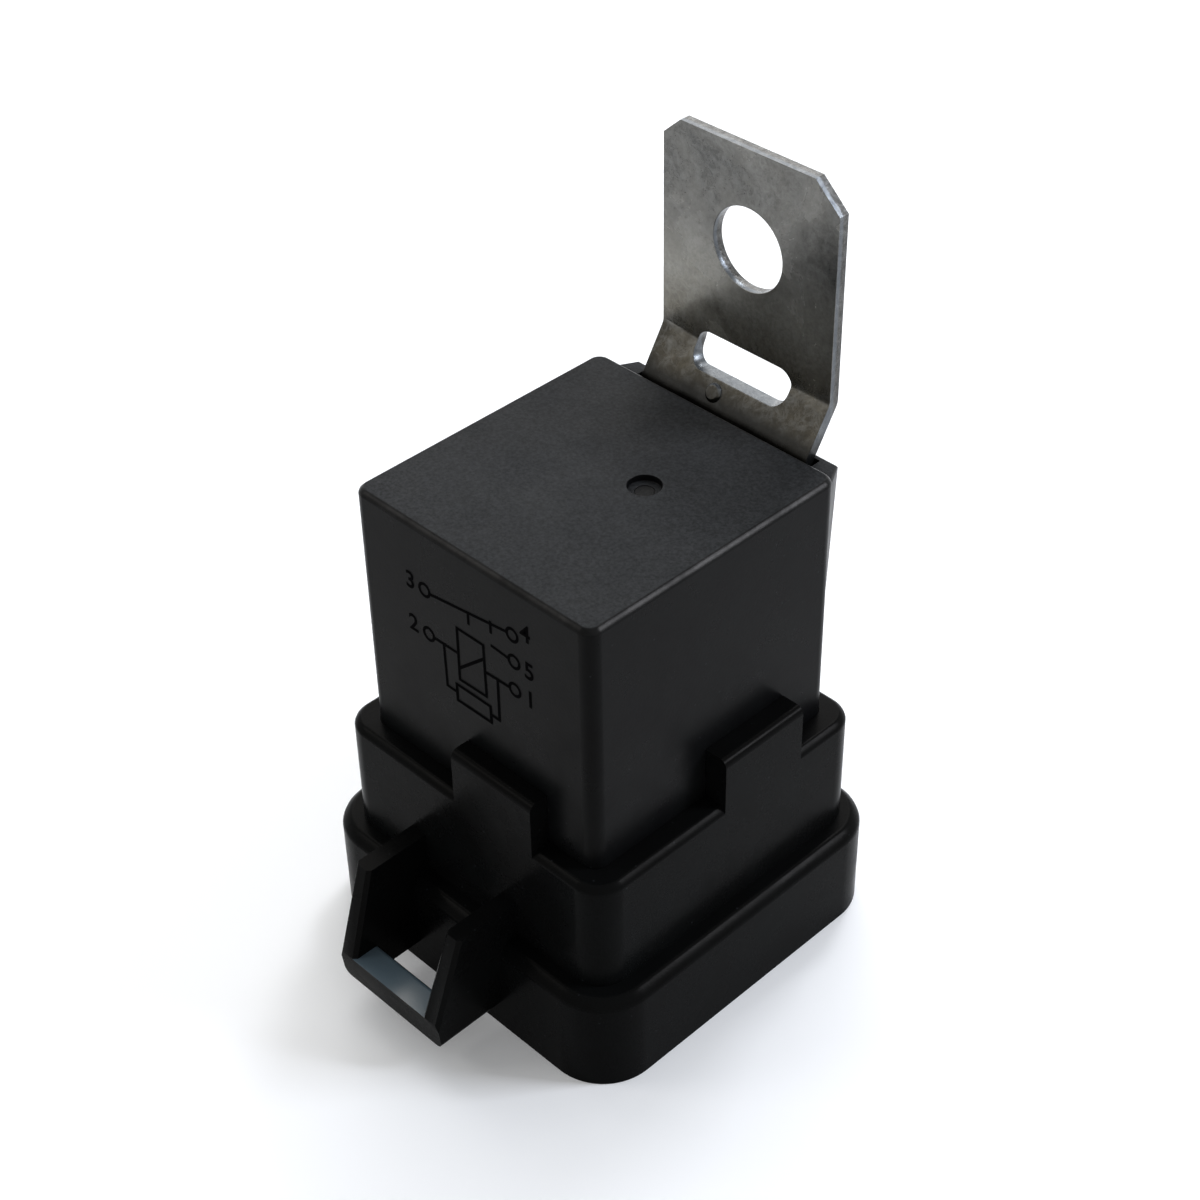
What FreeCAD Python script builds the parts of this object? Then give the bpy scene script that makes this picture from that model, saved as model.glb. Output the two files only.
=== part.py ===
"""Weatherproof automotive relay with a steel mounting bracket.

Millimetres. The origin is at the middle of the plug socket, on the plane of the skirt's lower rim,
so that the relay stands on z = 0. +Z runs up through the cover, -Y is the printed face with the
latch loop below it, and +Y is the side of the bracket.
"""
import FreeCAD, Part
import math
import os
from types import SimpleNamespace

import Sketcher

PLAIN_SIZES = {
    # Cover
    "cover_width": 28.0,
    "cover_depth": 28.8,
    "cover_height": 28.0,
    "cover_seat": 19.2,
    "cover_wall": 1.2,
    "cover_corner": 1.35,
    "cover_edge": 0.45,
    # Pocket on the cover's back
    "pocket_bottom": 28.0,
    "pocket_drop": 1.3,
    "pocket_depth": 2.7,
    "pocket_foot_depth": 2.5,
    "pocket_wide": 13.2,
    "pocket_narrow": 11.7,
    "pocket_taper": 0.6,
    "pocket_floor": 1.5,
    "pocket_edge": 0.2,
    "mouth_half": 10.2,
    "mouth_height": 2.6,
    "lip_height": 0.6,
    "lip_depth": 0.12,
    # Vent in the cover's top
    "vent_across": 3.35,
    "vent_along": 2.45,
    "vent_radius": 1.5,
    "vent_depth": 0.6,
    "vent_bore": 0.85,
    # Skirt
    "collar_half": 16.4,
    "collar_top": 21.85,
    "collar_corner": 3.0,
    "collar_edge": 0.6,
    "collar_wall": 1.5,
    "shroud_half": 18.65,
    "shroud_front": 18.5,
    "shroud_back": 18.2,
    "shroud_top": 10.2,
    "shroud_corner": 5.4,
    "shroud_edge": 0.9,
    "shroud_wall": 1.8,
    "shroud_roof": 1.6,
    "web_thick": 1.5,
    "web_ledge": 1.6,
    "rib_width": 1.2,
    "rib_depth": 1.0,
    "rib_spread": 9.0,
    # Tabs on the collar
    "tab_start": 1.2,
    "tab_end": 8.5,
    "tab_top": 27.1,
    "tab_gap": 0.05,
    "tab_edge": 0.8,
    "lug_height": 1.0,
    "lug_level": 24.6,
    "lug_depth": 0.5,
    # Latch loop
    "latch_shift": 0.6,
    "latch_half": 6.8,
    "latch_wall": 1.8,
    "latch_bottom": 2.6,
    "latch_top": 14.3,
    "latch_reach": 25.9,
    "latch_lean": 2.9,
    "latch_tuck": 0.35,
    "latch_taper": 0.3,
    "window_taper": 0.5,
    "latch_round": 0.8,
    "latch_edge": 0.35,
    "bar_height": 3.1,
    "bar_depth": 2.8,
    "bar_edge": 0.5,
    # Bracket
    "strap_half": 9.65,
    "strap_thick": 1.1,
    "strap_face": 15.22,
    "strap_bottom": 29.6,
    "strap_low_bend": 46.0,
    "strap_high_bend": 50.5,
    "strap_step": 2.85,
    "strap_top": 70.55,
    "strap_bend": 1.2,
    "strap_cut_across": 2.7,
    "strap_cut_down": 2.5,
    "strap_cut_less": 0.8,
    "strap_corner": 0.6,
    "eye_level": 61.4,
    "eye_radius": 3.85,
    "slot_half": 5.4,
    "slot_low": 48.45,
    "slot_high": 51.65,
    "slot_corner": 1.45,
    "dimple_radius": 0.85,
    "dimple_rise": 0.35,
    "dimple_shift": 1.7,
    "dimple_level": 47.45,
    # Base plate and seal
    "base_fit": 0.1,
    "seal_thick": 0.8,
    "seal_level": 19.4,
    "base_thick": 2.0,
    "post_height": 1.8,
    "post_size": 2.4,
    # Blade terminals
    "blade_width": 6.3,
    "blade_thick": 0.8,
    "blade_length": 11.7,
    "blade_tip": 1.0,
    "blade_hole": 0.8,
    "blade_hole_level": 4.4,
    "slot_fit": 0.05,
    "foot_thick": 0.8,
    "coil_blade_across": 8.4,
    "common_blade_back": 8.9,
    "open_blade_front": 8.0,
    "coil_post_height": 5.3,
    "coil_post_width": 1.6,
    "riser_inner": 5.0,
    "riser_outer": 9.0,
    "riser_face": 12.4,
    "arm_back": 8.4,
    "arm_tip": 1.9,
    "lane_near": 4.2,
    "lane_far": 7.4,
    "foot_front": 2.8,
    "weld_inner": 3.5,
    "weld_outer": 6.5,
    "weld_height": 8.0,
    # Magnet
    "coil_back": 0.5,
    "yoke_seat": 24.0,
    "yoke_thick": 1.8,
    "yoke_half": 7.0,
    "yoke_front": 6.5,
    "yoke_back": 10.8,
    "yoke_top": 40.7,
    "yoke_bend": 0.9,
    "core_radius": 3.2,
    "pole_radius": 4.75,
    "pole_top": 40.15,
    "flange_thick": 1.0,
    "flange_half": 7.8,
    "flange_top": 39.3,
    "tube_wall": 0.7,
    "winding_radius": 6.7,
    "tape_thick": 0.15,
    "winding_gap": 0.05,
    # Armature and contact leaf
    "armature_bottom": 40.8,
    "armature_thick": 1.5,
    "armature_half": 6.5,
    "armature_front": 6.0,
    "armature_back": 10.3,
    "armature_nose": 3.0,
    "leaf_thick": 0.3,
    "leaf_half": 2.5,
    "leaf_front": 11.9,
    "leaf_bend": 0.4,
    "leaf_bend_along": 10.4,
    "leaf_split": 41.0,
    "leaf_split_gap": 0.06,
    "leaf_foot_bottom": 29.0,
    "contact_along": 10.2,
    "contact_radius": 1.5,
    "contact_height": 0.8,
    "contact_crown": 0.2,
    "contact_shank": 0.8,
    "contact_rest_gap": 0.02,
    "contact_stroke": 0.8,
    "rivet_head": 1.3,
    "rivet_rise": 0.5,
    "rivet_shank": 0.7,
    "rivet_front": 3.0,
    "rivet_rear": 5.0,
    "foot_rivet_low": 31.5,
    "foot_rivet_high": 36.0,
    # Resistor and wires
    "resistor_radius": 1.2,
    "resistor_half": 3.3,
    "resistor_front": 9.4,
    "resistor_level": 25.2,
    "lead_radius": 0.3,
    "wire_radius": 0.12,
    "wire_level": 27.15,
}

SHEET = "Sizes"
doc = FreeCAD.newDocument("relay")


class Size:
    """A length that carries its number and the sheet formula that gives it."""

    def __init__(self, number, formula):
        self.number = number
        self.formula = formula

    def joined(self, sign, other, number):
        return Size(number, f"({self.formula} {sign} {as_size(other).formula})")

    def __add__(self, other):
        return self.joined("+", other, self.number + as_size(other).number)

    def __radd__(self, other):
        return as_size(other) + self

    def __sub__(self, other):
        return self.joined("-", other, self.number - as_size(other).number)

    def __rsub__(self, other):
        return as_size(other) - self

    def __mul__(self, other):
        return self.joined("*", other, self.number * as_size(other).number)

    def __rmul__(self, other):
        return as_size(other) * self

    def __truediv__(self, other):
        return self.joined("/", other, self.number / as_size(other).number)

    def __neg__(self):
        return Size(-self.number, f"(0 - {self.formula})")


def as_size(value):
    """A Size for a plain number, and a Size itself unchanged."""
    if isinstance(value, Size):
        return value
    return Size(float(value), f"{float(value)}")


def fill_sheet():
    """Writes the driving dimensions, each with its alias, and gives them back as Sizes."""
    sheet = doc.addObject("Spreadsheet::Sheet", SHEET)
    sizes = {}
    for row, (name, value) in enumerate(PLAIN_SIZES.items(), start=1):
        sheet.set(f"A{row}", name)
        sheet.set(f"B{row}", str(value))
        sheet.setAlias(f"B{row}", name)
        sizes[name] = Size(value, f"{SHEET}.{name}")
    doc.recompute()
    return SimpleNamespace(**sizes)


S = fill_sheet()


# Helpers that bind sizes and draw sketches

def bind(item, prop, size):
    """Ties one property to the sheet."""
    item.setExpression(prop, as_size(size).formula)


def new_body(label, x=None, y=None, z=None):
    """A body with its label, placed by formulas."""
    body = doc.addObject("PartDesign::Body", label)
    body.Label = label
    for axis, size in (("x", x), ("y", y), ("z", z)):
        if size is not None:
            bind(body, f"Placement.Base.{axis}", size)
    return body


def origin_plane(body, role):
    """One of the body's own origin planes or axes."""
    return next(item for item in body.Origin.OriginFeatures if item.Role == role)


def new_sketch(body, role, offset=None):
    """A sketch on one of the body's origin planes, lifted along the plane's normal."""
    sketch = body.newObject("Sketcher::SketchObject", f"{body.Label}_sketch")
    sketch.AttachmentSupport = [(origin_plane(body, role), "")]
    sketch.MapMode = "FlatFace"
    if offset is not None:
        bind(sketch, "AttachmentOffset.Base.z", offset)
    return sketch


def pin_point(sketch, geometry, point, x, y):
    """Holds a point of the sketch at x, y, both by formula."""
    for kind, size in (("DistanceX", as_size(x)), ("DistanceY", as_size(y))):
        index = sketch.addConstraint(Sketcher.Constraint(kind, -1, 1, geometry, point, size.number))
        sketch.setExpression(f"Constraints[{index}]", size.formula)


def polygon(sketch, points):
    """A closed outline through the given corners."""
    corners = [(as_size(x), as_size(y)) for x, y in points]
    first = sketch.GeometryCount
    count = len(corners)
    for index in range(count):
        ends = (corners[index], corners[(index + 1) % count])
        start, stop = (FreeCAD.Vector(x.number, y.number, 0) for x, y in ends)
        sketch.addGeometry(Part.LineSegment(start, stop))
    for index in range(count):
        following = first + (index + 1) % count
        sketch.addConstraint(Sketcher.Constraint("Coincident", first + index, 2, following, 1))
    for index, (x, y) in enumerate(corners):
        pin_point(sketch, first + index, 1, x, y)


def rectangle(sketch, left, right, low, high):
    """A closed rectangle."""
    polygon(sketch, [(left, low), (right, low), (right, high), (left, high)])


def rounded_rectangle(sketch, left, right, low, high, radius):
    """A rectangle with four equal round corners."""
    left, right, low, high, radius = (as_size(size) for size in (left, right, low, high, radius))
    centres = [(right - radius, high - radius), (left + radius, high - radius),
               (left + radius, low + radius), (right - radius, low + radius)]
    first = sketch.GeometryCount
    up = FreeCAD.Vector(0, 0, 1)
    for corner, (x, y) in enumerate(centres):
        circle = Part.Circle(FreeCAD.Vector(x.number, y.number, 0), up, radius.number)
        start = corner * math.pi / 2
        sketch.addGeometry(Part.ArcOfCircle(circle, start, start + math.pi / 2))
    for corner in range(4):
        here = sketch.Geometry[first + corner]
        there = sketch.Geometry[first + (corner + 1) % 4]
        sketch.addGeometry(Part.LineSegment(here.EndPoint, there.StartPoint))
    for corner in range(4):
        side = first + 4 + corner
        following = first + (corner + 1) % 4
        sketch.addConstraint(Sketcher.Constraint("Tangent", first + corner, 2, side, 1))
        sketch.addConstraint(Sketcher.Constraint("Tangent", side, 2, following, 1))
    for corner, (x, y) in enumerate(centres):
        pin_point(sketch, first + corner, 3, x, y)
    index = sketch.addConstraint(Sketcher.Constraint("Radius", first, radius.number))
    sketch.setExpression(f"Constraints[{index}]", radius.formula)


def ring(sketch, x, y, *radii):
    """Circles round one centre: one for a disc, two for a ring."""
    x, y = as_size(x), as_size(y)
    for radius in radii:
        radius = as_size(radius)
        centre = FreeCAD.Vector(x.number, y.number, 0)
        index = sketch.addGeometry(Part.Circle(centre, FreeCAD.Vector(0, 0, 1), radius.number))
        pin_point(sketch, index, 3, x, y)
        held = sketch.addConstraint(Sketcher.Constraint("Radius", index, radius.number))
        sketch.setExpression(f"Constraints[{held}]", radius.formula)


def pad(body, sketch, length, reverse=False, both=False):
    """Adds material from the sketch."""
    feature = body.newObject("PartDesign::Pad", f"{body.Label}_pad")
    feature.Profile = sketch
    feature.Reversed = reverse
    feature.SideType = "Symmetric" if both else "One side"
    bind(feature, "Length", length)
    doc.recompute()
    return feature


def pocket(body, sketch, length, reverse=False, both=False):
    """Removes material, and stops if nothing went."""
    before = body.Shape.Volume
    feature = body.newObject("PartDesign::Pocket", f"{body.Label}_pocket")
    feature.Profile = sketch
    feature.Reversed = reverse
    feature.SideType = "Symmetric" if both else "One side"
    bind(feature, "Length", length)
    doc.recompute()
    if body.Shape.Volume > before - 1e-6:
        raise ValueError(f"{feature.Name} cuts nothing")
    return feature


def edge_names(feature, wanted):
    """Names of the edges whose middle point and direction pass the test."""
    names = []
    for number, edge in enumerate(feature.Shape.Edges, start=1):
        middle = edge.CenterOfMass
        along = edge.tangentAt((edge.FirstParameter + edge.LastParameter) / 2)
        if wanted(middle, along, edge):
            names.append(f"Edge{number}")
    if not names:
        raise ValueError(f"{feature.Name} has no such edge")
    return names


def fillet(body, wanted, radius):
    """Rounds the edges of the body's tip that pass the test."""
    base = body.Tip
    feature = body.newObject("PartDesign::Fillet", f"{body.Label}_fillet")
    feature.Base = (base, edge_names(base, wanted))
    bind(feature, "Radius", radius)
    doc.recompute()
    return feature


def chamfer(body, wanted, size):
    """Bevels the edges of the body's tip that pass the test."""
    base = body.Tip
    feature = body.newObject("PartDesign::Chamfer", f"{body.Label}_chamfer")
    feature.Base = (base, edge_names(base, wanted))
    bind(feature, "Size", size)
    doc.recompute()
    return feature


def soften_rim(body, level, size, wanted=lambda middle: True):
    """Rounds the rim at one level, or a wanted part of it, in three flat steps."""
    chamfer(body, lambda middle, along, edge: near(middle.z, level) and not upright(along) and wanted(middle),
            size)
    step = (level - size).number

    def both_new_edges(middle, along, edge):
        return not upright(along) and (near(middle.z, level) or near(middle.z, step)) and wanted(middle)

    chamfer(body, both_new_edges, size / 4)


def half_turn_pair(body, originals):
    """Repeats features once, half a turn round the vertical axis."""
    pattern = body.newObject("PartDesign::PolarPattern", f"{body.Label}_pattern")
    pattern.Originals = originals
    pattern.Axis = (origin_plane(body, "Z_Axis"), [""])
    pattern.Angle = 360
    pattern.Occurrences = 2
    body.Tip = pattern
    doc.recompute()
    return pattern


def near(value, size, slack=0.02):
    """True where a measured value is the named size."""
    return abs(value - as_size(size).number) < slack


def upright(along):
    """True for an edge that runs along Z."""
    return abs(along.z) > 0.99


# Cover

def make_cover():
    """Moulded cap: box, pocket on the back for the bracket, vent recess, notches for the tabs."""
    body = new_body("cover", z=S.cover_seat)
    half_width, half_depth = S.cover_width / 2, S.cover_depth / 2
    sketch = new_sketch(body, "XY_Plane")
    rounded_rectangle(sketch, -half_width, half_width, -half_depth, half_depth, S.cover_corner)
    pad(body, sketch, S.cover_height)
    soften_rim(body, S.cover_height, S.cover_edge)
    add_pocket_block(body, half_depth)
    hollow = new_sketch(body, "XY_Plane")
    inner_width, inner_depth = half_width - S.cover_wall, half_depth - S.cover_wall
    rectangle(hollow, -inner_width, inner_width, -inner_depth, inner_depth)
    pocket(body, hollow, S.cover_height - S.cover_wall, reverse=True)
    cut_bracket_slot(body, half_depth)
    cut_vent(body)
    cut_notches(body, half_width, half_depth)
    return body


def add_pocket_block(body, half_depth):
    """Trapezoid block on the back, lofted so that it draws in a little towards its foot."""
    embed = S.cover_wall / 4
    block_top = S.cover_height - S.pocket_drop
    block_bottom = S.pocket_bottom - S.cover_seat
    levels = [(block_bottom, S.pocket_taper, S.pocket_foot_depth), (block_top, as_size(0), S.pocket_depth)]
    outlines = []
    for level, taper, depth in levels:
        outline = new_sketch(body, "XY_Plane", level)
        wide, narrow = S.pocket_wide - taper, S.pocket_narrow - taper
        root = wide + (wide - narrow) * embed / depth
        polygon(outline, [(-root, half_depth - embed), (root, half_depth - embed),
                          (narrow, half_depth + depth), (-narrow, half_depth + depth)])
        outlines.append(outline)
    loft = body.newObject("PartDesign::AdditiveLoft", "pocket_block")
    loft.Profile = outlines[0]
    loft.Sections = outlines[1:]
    loft.Ruled = True
    doc.recompute()
    chamfer(body, lambda middle, along, edge: near(middle.z, block_top) and middle.y > half_depth.number + 0.1,
            S.pocket_edge)


def cut_bracket_slot(body, half_depth):
    """Blind slot that takes the bracket's lower leg, wider at its mouth."""
    block_top = S.cover_height - S.pocket_drop
    slot_floor = S.pocket_bottom + S.pocket_floor - S.cover_seat
    mouth_floor = block_top - S.mouth_height
    half = S.strap_half + 2 * S.slot_fit
    slot = new_sketch(body, "XZ_Plane", -half_depth)
    polygon(slot, [(-half, slot_floor), (half, slot_floor), (half, mouth_floor), (S.mouth_half, mouth_floor),
                   (S.mouth_half, S.cover_height), (-S.mouth_half, S.cover_height),
                   (-S.mouth_half, mouth_floor), (-half, mouth_floor)])
    slot_depth = S.strap_face + S.strap_thick + S.slot_fit - half_depth
    pocket(body, slot, slot_depth)
    lip = new_sketch(body, "XZ_Plane", -half_depth)
    rectangle(lip, -S.mouth_half, S.mouth_half, block_top - S.lip_height, S.cover_height)
    pocket(body, lip, slot_depth + S.lip_depth)


def cut_vent(body):
    """Round recess with a smaller bore through the top."""
    for radius, depth in ((S.vent_radius, S.vent_depth), (S.vent_bore, S.cover_wall)):
        sketch = new_sketch(body, "XY_Plane", S.cover_height)
        ring(sketch, S.vent_across, S.vent_along, radius)
        pocket(body, sketch, depth)


def cut_notches(body, half_width, half_depth):
    """Shallow notches that the lugs of the skirt's tabs snap into."""
    level = S.lug_level - S.cover_seat - S.tab_gap
    depth = S.lug_depth + S.tab_gap
    start, end = S.tab_start + S.tab_gap, S.tab_end + S.tab_gap
    front = new_sketch(body, "XY_Plane", level)
    rectangle(front, -start, end, -half_depth, depth - half_depth)
    rectangle(front, -end, start, half_depth - depth, half_depth)
    rectangle(front, half_width - depth, half_width, -start, end)
    rectangle(front, -half_width, depth - half_width, -end, start)
    pocket(body, front, S.lug_height + 2 * S.tab_gap, reverse=True)


def make_vent_plug():
    """Porous plug pressed into the vent's bore."""
    body = new_body("vent_plug", x=S.vent_across, y=S.vent_along,
                    z=S.cover_seat + S.cover_height - S.cover_wall)
    sketch = new_sketch(body, "XY_Plane")
    ring(sketch, 0, 0, S.vent_bore)
    pad(body, sketch, S.cover_wall - S.vent_depth - S.tab_gap)
    return body


# Skirt with collar, shroud, tabs and latch

def make_skirt():
    """One moulding: shroud below, collar above, a web that carries the cover, tabs and latch."""
    body = new_body("skirt")
    shroud = new_sketch(body, "XY_Plane")
    rounded_rectangle(shroud, -S.shroud_half, S.shroud_half, -S.shroud_front, S.shroud_back, S.shroud_corner)
    pad(body, shroud, S.shroud_top)
    soften_rim(body, S.shroud_top, S.shroud_edge)
    collar = new_sketch(body, "XY_Plane", S.shroud_top / 2)
    rounded_rectangle(collar, -S.collar_half, S.collar_half, -S.collar_half, S.collar_half, S.collar_corner)
    pad(body, collar, S.collar_top - S.shroud_top / 2)
    soften_rim(body, S.collar_top, S.collar_edge)
    add_latch_block(body)
    hollow_skirt(body)
    cut_latch(body)
    round_latch(body)
    add_tabs(body)
    return body


def hollow_skirt(body):
    """Socket from below in two steps, opening for the blades, and the seat for the cover."""
    shroud_inner = S.shroud_half - S.shroud_wall
    socket = new_sketch(body, "XY_Plane")
    rounded_rectangle(socket, -shroud_inner, shroud_inner, S.shroud_wall - S.shroud_front,
                      S.shroud_back - S.shroud_wall, S.shroud_corner - S.shroud_wall)
    pocket(body, socket, S.shroud_top - S.shroud_roof, reverse=True)
    collar_inner = S.collar_half - S.collar_wall
    corner = S.collar_corner - S.collar_wall
    throat = new_sketch(body, "XY_Plane")
    rounded_rectangle(throat, -collar_inner, collar_inner, -collar_inner, collar_inner, corner)
    pocket(body, throat, S.cover_seat - S.web_thick, reverse=True)
    window_x = S.cover_width / 2 - S.web_ledge
    window_y = S.cover_depth / 2 - S.web_ledge
    window = new_sketch(body, "XY_Plane")
    rectangle(window, -window_x, window_x, -window_y, window_y)
    pocket(body, window, S.collar_top, reverse=True)
    seat = new_sketch(body, "XY_Plane", S.collar_top)
    seat_x = S.cover_width / 2 + S.tab_gap
    seat_y = S.cover_depth / 2 + S.tab_gap
    rounded_rectangle(seat, -seat_x, seat_x, -seat_y, seat_y, S.cover_corner + S.tab_gap)
    pocket(body, seat, S.collar_top - S.cover_seat)
    add_guide_ribs(body, collar_inner)


def add_guide_ribs(body, collar_inner):
    """Upright ribs inside the throat, two on each wall, that guide the plug."""
    ribs = new_sketch(body, "XY_Plane", S.shroud_top - S.shroud_roof)
    wall = collar_inner + S.collar_wall / 2
    face = collar_inner - S.rib_depth
    for side in (-1, 1):
        near_edge = side * S.rib_spread - S.rib_width / 2
        far_edge = side * S.rib_spread + S.rib_width / 2
        rectangle(ribs, near_edge, far_edge, -wall, -face)
        rectangle(ribs, near_edge, far_edge, face, wall)
        rectangle(ribs, -wall, -face, near_edge, far_edge)
        rectangle(ribs, face, wall, near_edge, far_edge)
    pad(body, ribs, S.cover_seat - S.web_thick - S.shroud_top + S.shroud_roof)


def add_latch_block(body):
    """Solid block of the latch: narrower below, upright beside the bar, leaning back above it."""
    front = -S.latch_reach
    bar_top = S.latch_bottom + S.bar_height
    root = S.collar_half - S.collar_wall / 2
    low_half = S.latch_half - S.latch_taper
    block = new_sketch(body, "XZ_Plane", root)
    polygon(block, [(-S.latch_shift - low_half, S.latch_bottom), (low_half - S.latch_shift, S.latch_bottom),
                    (S.latch_half - S.latch_shift, S.latch_top), (-S.latch_shift - S.latch_half, S.latch_top)])
    pad(body, block, S.latch_reach - root)
    fillet(body, lambda middle, along, edge: near(middle.z, S.latch_bottom)
           and near(abs(middle.x + S.latch_shift.number), low_half), S.latch_round)
    side = new_sketch(body, "YZ_Plane", -S.latch_shift)
    polygon(side, [(front - 1, S.latch_bottom - 1), (front + S.latch_tuck, S.latch_bottom - 1),
                   (front + S.latch_tuck, S.latch_bottom), (front, bar_top),
                   (front + S.latch_lean, S.latch_top), (front + S.latch_lean, S.latch_top + 1),
                   (front - 1, S.latch_top + 1)])
    pocket(body, side, 2 * S.latch_half + 2, both=True)


def cut_latch(body):
    """Opens the latch to a loop: a window that widens upwards, and a slot behind the bar."""
    front = -S.latch_reach
    bar_top = S.latch_bottom + S.bar_height
    high = S.latch_half - S.latch_wall
    low = high - S.window_taper
    for face, level, length in ((S.shroud_front, bar_top, S.latch_reach - S.shroud_front + 1),
                                (S.collar_half, S.shroud_top, S.shroud_front - S.collar_half)):
        half = low + S.window_taper * (level - bar_top) / (S.latch_top - bar_top)
        window = new_sketch(body, "XZ_Plane", face)
        polygon(window, [(-S.latch_shift - half, level), (half - S.latch_shift, level),
                         (high - S.latch_shift, S.latch_top), (high - S.latch_shift, S.latch_top + 1),
                         (-S.latch_shift - high, S.latch_top + 1), (-S.latch_shift - high, S.latch_top)])
        pocket(body, window, length, reverse=True)
    slot = new_sketch(body, "XY_Plane", S.latch_bottom)
    rectangle(slot, -S.latch_shift - low, low - S.latch_shift, front + S.bar_depth, -S.shroud_front)
    pocket(body, slot, S.bar_height, reverse=True)


def round_latch(body):
    """Soft edges on the loop's front, its bar and the shroud's rim behind it."""
    edge_y = -S.latch_reach + S.bar_depth
    bar_top = S.latch_bottom + S.bar_height
    fillet(body, lambda middle, along, edge: near(middle.z, bar_top) and near(middle.y, edge_y), S.bar_edge)
    lean = (S.latch_lean / (S.latch_top - bar_top)).number

    def front_of_walls(middle, along, edge):
        plane = (middle.z - bar_top.number) * lean - S.latch_reach.number
        return abs(middle.y - plane) < 0.02 and abs(along.z) > 0.9 and middle.z > bar_top.number

    chamfer(body, front_of_walls, S.latch_edge)

    def inside_loop(middle):
        return near(middle.x, -S.latch_shift) and middle.y < 0.1 - S.shroud_front.number + S.shroud_edge.number

    soften_rim(body, S.shroud_top, S.shroud_edge, inside_loop)


def add_tabs(body):
    """Four upstanding tabs with lugs, each set off to the same hand of its face."""
    faces = [("XZ_Plane", S.cover_depth / 2), ("YZ_Plane", S.cover_width / 2)]
    height = S.tab_top - S.cover_seat
    for role, wall in faces:
        inner = wall + S.tab_gap
        block = new_sketch(body, "XY_Plane", S.cover_seat)
        lug = new_sketch(body, "XY_Plane", S.lug_level)
        reach = inner - S.lug_depth
        if role == "XZ_Plane":
            rectangle(block, -S.tab_start, S.tab_end, -S.collar_half, -inner)
            rectangle(lug, -S.tab_start, S.tab_end, -inner - S.tab_gap, -reach)
        else:
            rectangle(block, inner, S.collar_half, -S.tab_start, S.tab_end)
            rectangle(lug, reach, inner + S.tab_gap, -S.tab_start, S.tab_end)
        tab = pad(body, block, height)
        catch = pad(body, lug, S.lug_height)
        half_turn_pair(body, [tab, catch])

    def outer_top(middle, along, edge):
        outside = max(abs(middle.x), abs(middle.y)) > S.collar_half.number - 0.02
        return near(middle.z, S.tab_top) and outside

    fillet(body, outer_top, S.tab_edge)


# Steel bracket

def make_bracket():
    """Joggled strip of plated steel: lower leg in the pocket, slanted step, upper leg with its eye."""
    body = new_body("mounting_bracket")
    low, high = S.strap_low_bend, S.strap_high_bend
    face, thick = S.strap_face, S.strap_thick
    upper = face + S.strap_step
    slant = math.hypot(S.strap_step.number, (high - low).number)
    shift = thick * (slant - (high - low).number) / S.strap_step.number
    strip = new_sketch(body, "YZ_Plane")
    polygon(strip, [(face, S.strap_bottom), (face, low), (upper, high), (upper, S.strap_top),
                    (upper + thick, S.strap_top), (upper + thick, high - shift),
                    (face + thick, low - shift), (face + thick, S.strap_bottom)])
    pad(body, strip, 2 * S.strap_half, both=True)

    def bends(middle, along, edge):
        levels = (low.number, high.number, (low - shift).number, (high - shift).number)
        return abs(along.x) > 0.99 and any(abs(middle.z - level) < 0.02 for level in levels)

    fillet(body, bends, S.strap_bend)
    cut_strap_openings(body)
    add_dimple(body)
    return body


def cut_strap_openings(body):
    """Eye, slot over the bend, bevelled upper corners and rounded lower corners."""
    depth = S.strap_face + S.strap_step + 2 * S.strap_thick
    openings = new_sketch(body, "XZ_Plane")
    ring(openings, 0, S.eye_level, S.eye_radius)
    rounded_rectangle(openings, -S.slot_half, S.slot_half, S.slot_low, S.slot_high, S.slot_corner)
    pocket(body, openings, depth)
    corners = new_sketch(body, "XZ_Plane")
    over = 1
    for side in (-1, 1):
        edge = side * S.strap_half
        less = S.strap_cut_less if side < 0 else as_size(0)
        across, down = S.strap_cut_across - less, S.strap_cut_down - less
        polygon(corners, [(edge - side * across, S.strap_top + over), (edge - side * across, S.strap_top),
                          (edge, S.strap_top - down), (edge + side * over, S.strap_top - down),
                          (edge + side * over, S.strap_top + over)])
    pocket(body, corners, depth)
    fillet(body, lambda middle, along, edge: near(middle.z, S.strap_bottom) and abs(along.y) > 0.99,
           S.strap_corner)


def add_dimple(body):
    """Small stamped knob on the front of the slanted step, square to it."""
    rise = S.strap_high_bend - S.strap_low_bend
    slope = S.strap_step / rise
    lean = Size(math.degrees(math.atan(slope.number)), f"atan({slope.formula})")
    knob = new_sketch(body, "XZ_Plane", -S.strap_face - slope * (S.dimple_level - S.strap_low_bend))
    bind(knob, "AttachmentOffset.Base.x", -S.dimple_shift)
    bind(knob, "AttachmentOffset.Base.y", S.dimple_level)
    knob.AttachmentOffset.Rotation = FreeCAD.Rotation(FreeCAD.Vector(-1, 0, 0), lean.number)
    bind(knob, "AttachmentOffset.Rotation.Angle", lean)
    ring(knob, 0, 0, S.dimple_radius)
    pad(body, knob, S.dimple_rise)
    rim = 2 * math.pi * S.dimple_radius.number
    chamfer(body, lambda middle, along, edge: near(edge.Length, rim)
            and middle.y < (S.strap_face + slope * (S.dimple_level - S.strap_low_bend)).number - 0.1,
            S.dimple_rise * 2 / 3)


# Base plate, seal and blades

def blade_slots(sketch, fit):
    """The five blade slots, each a little larger than its blade."""
    wide = S.blade_width / 2 + fit
    thin = S.blade_thick / 2 + fit
    for side in (-1, 1):
        middle = side * S.coil_blade_across
        rectangle(sketch, middle - thin, middle + thin, -wide, wide)
    rectangle(sketch, -thin, thin, S.common_blade_back - wide, S.common_blade_back + wide)
    rectangle(sketch, -wide, wide, -thin, thin)
    rectangle(sketch, -wide, wide, -S.open_blade_front - thin, -S.open_blade_front + thin)


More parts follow.
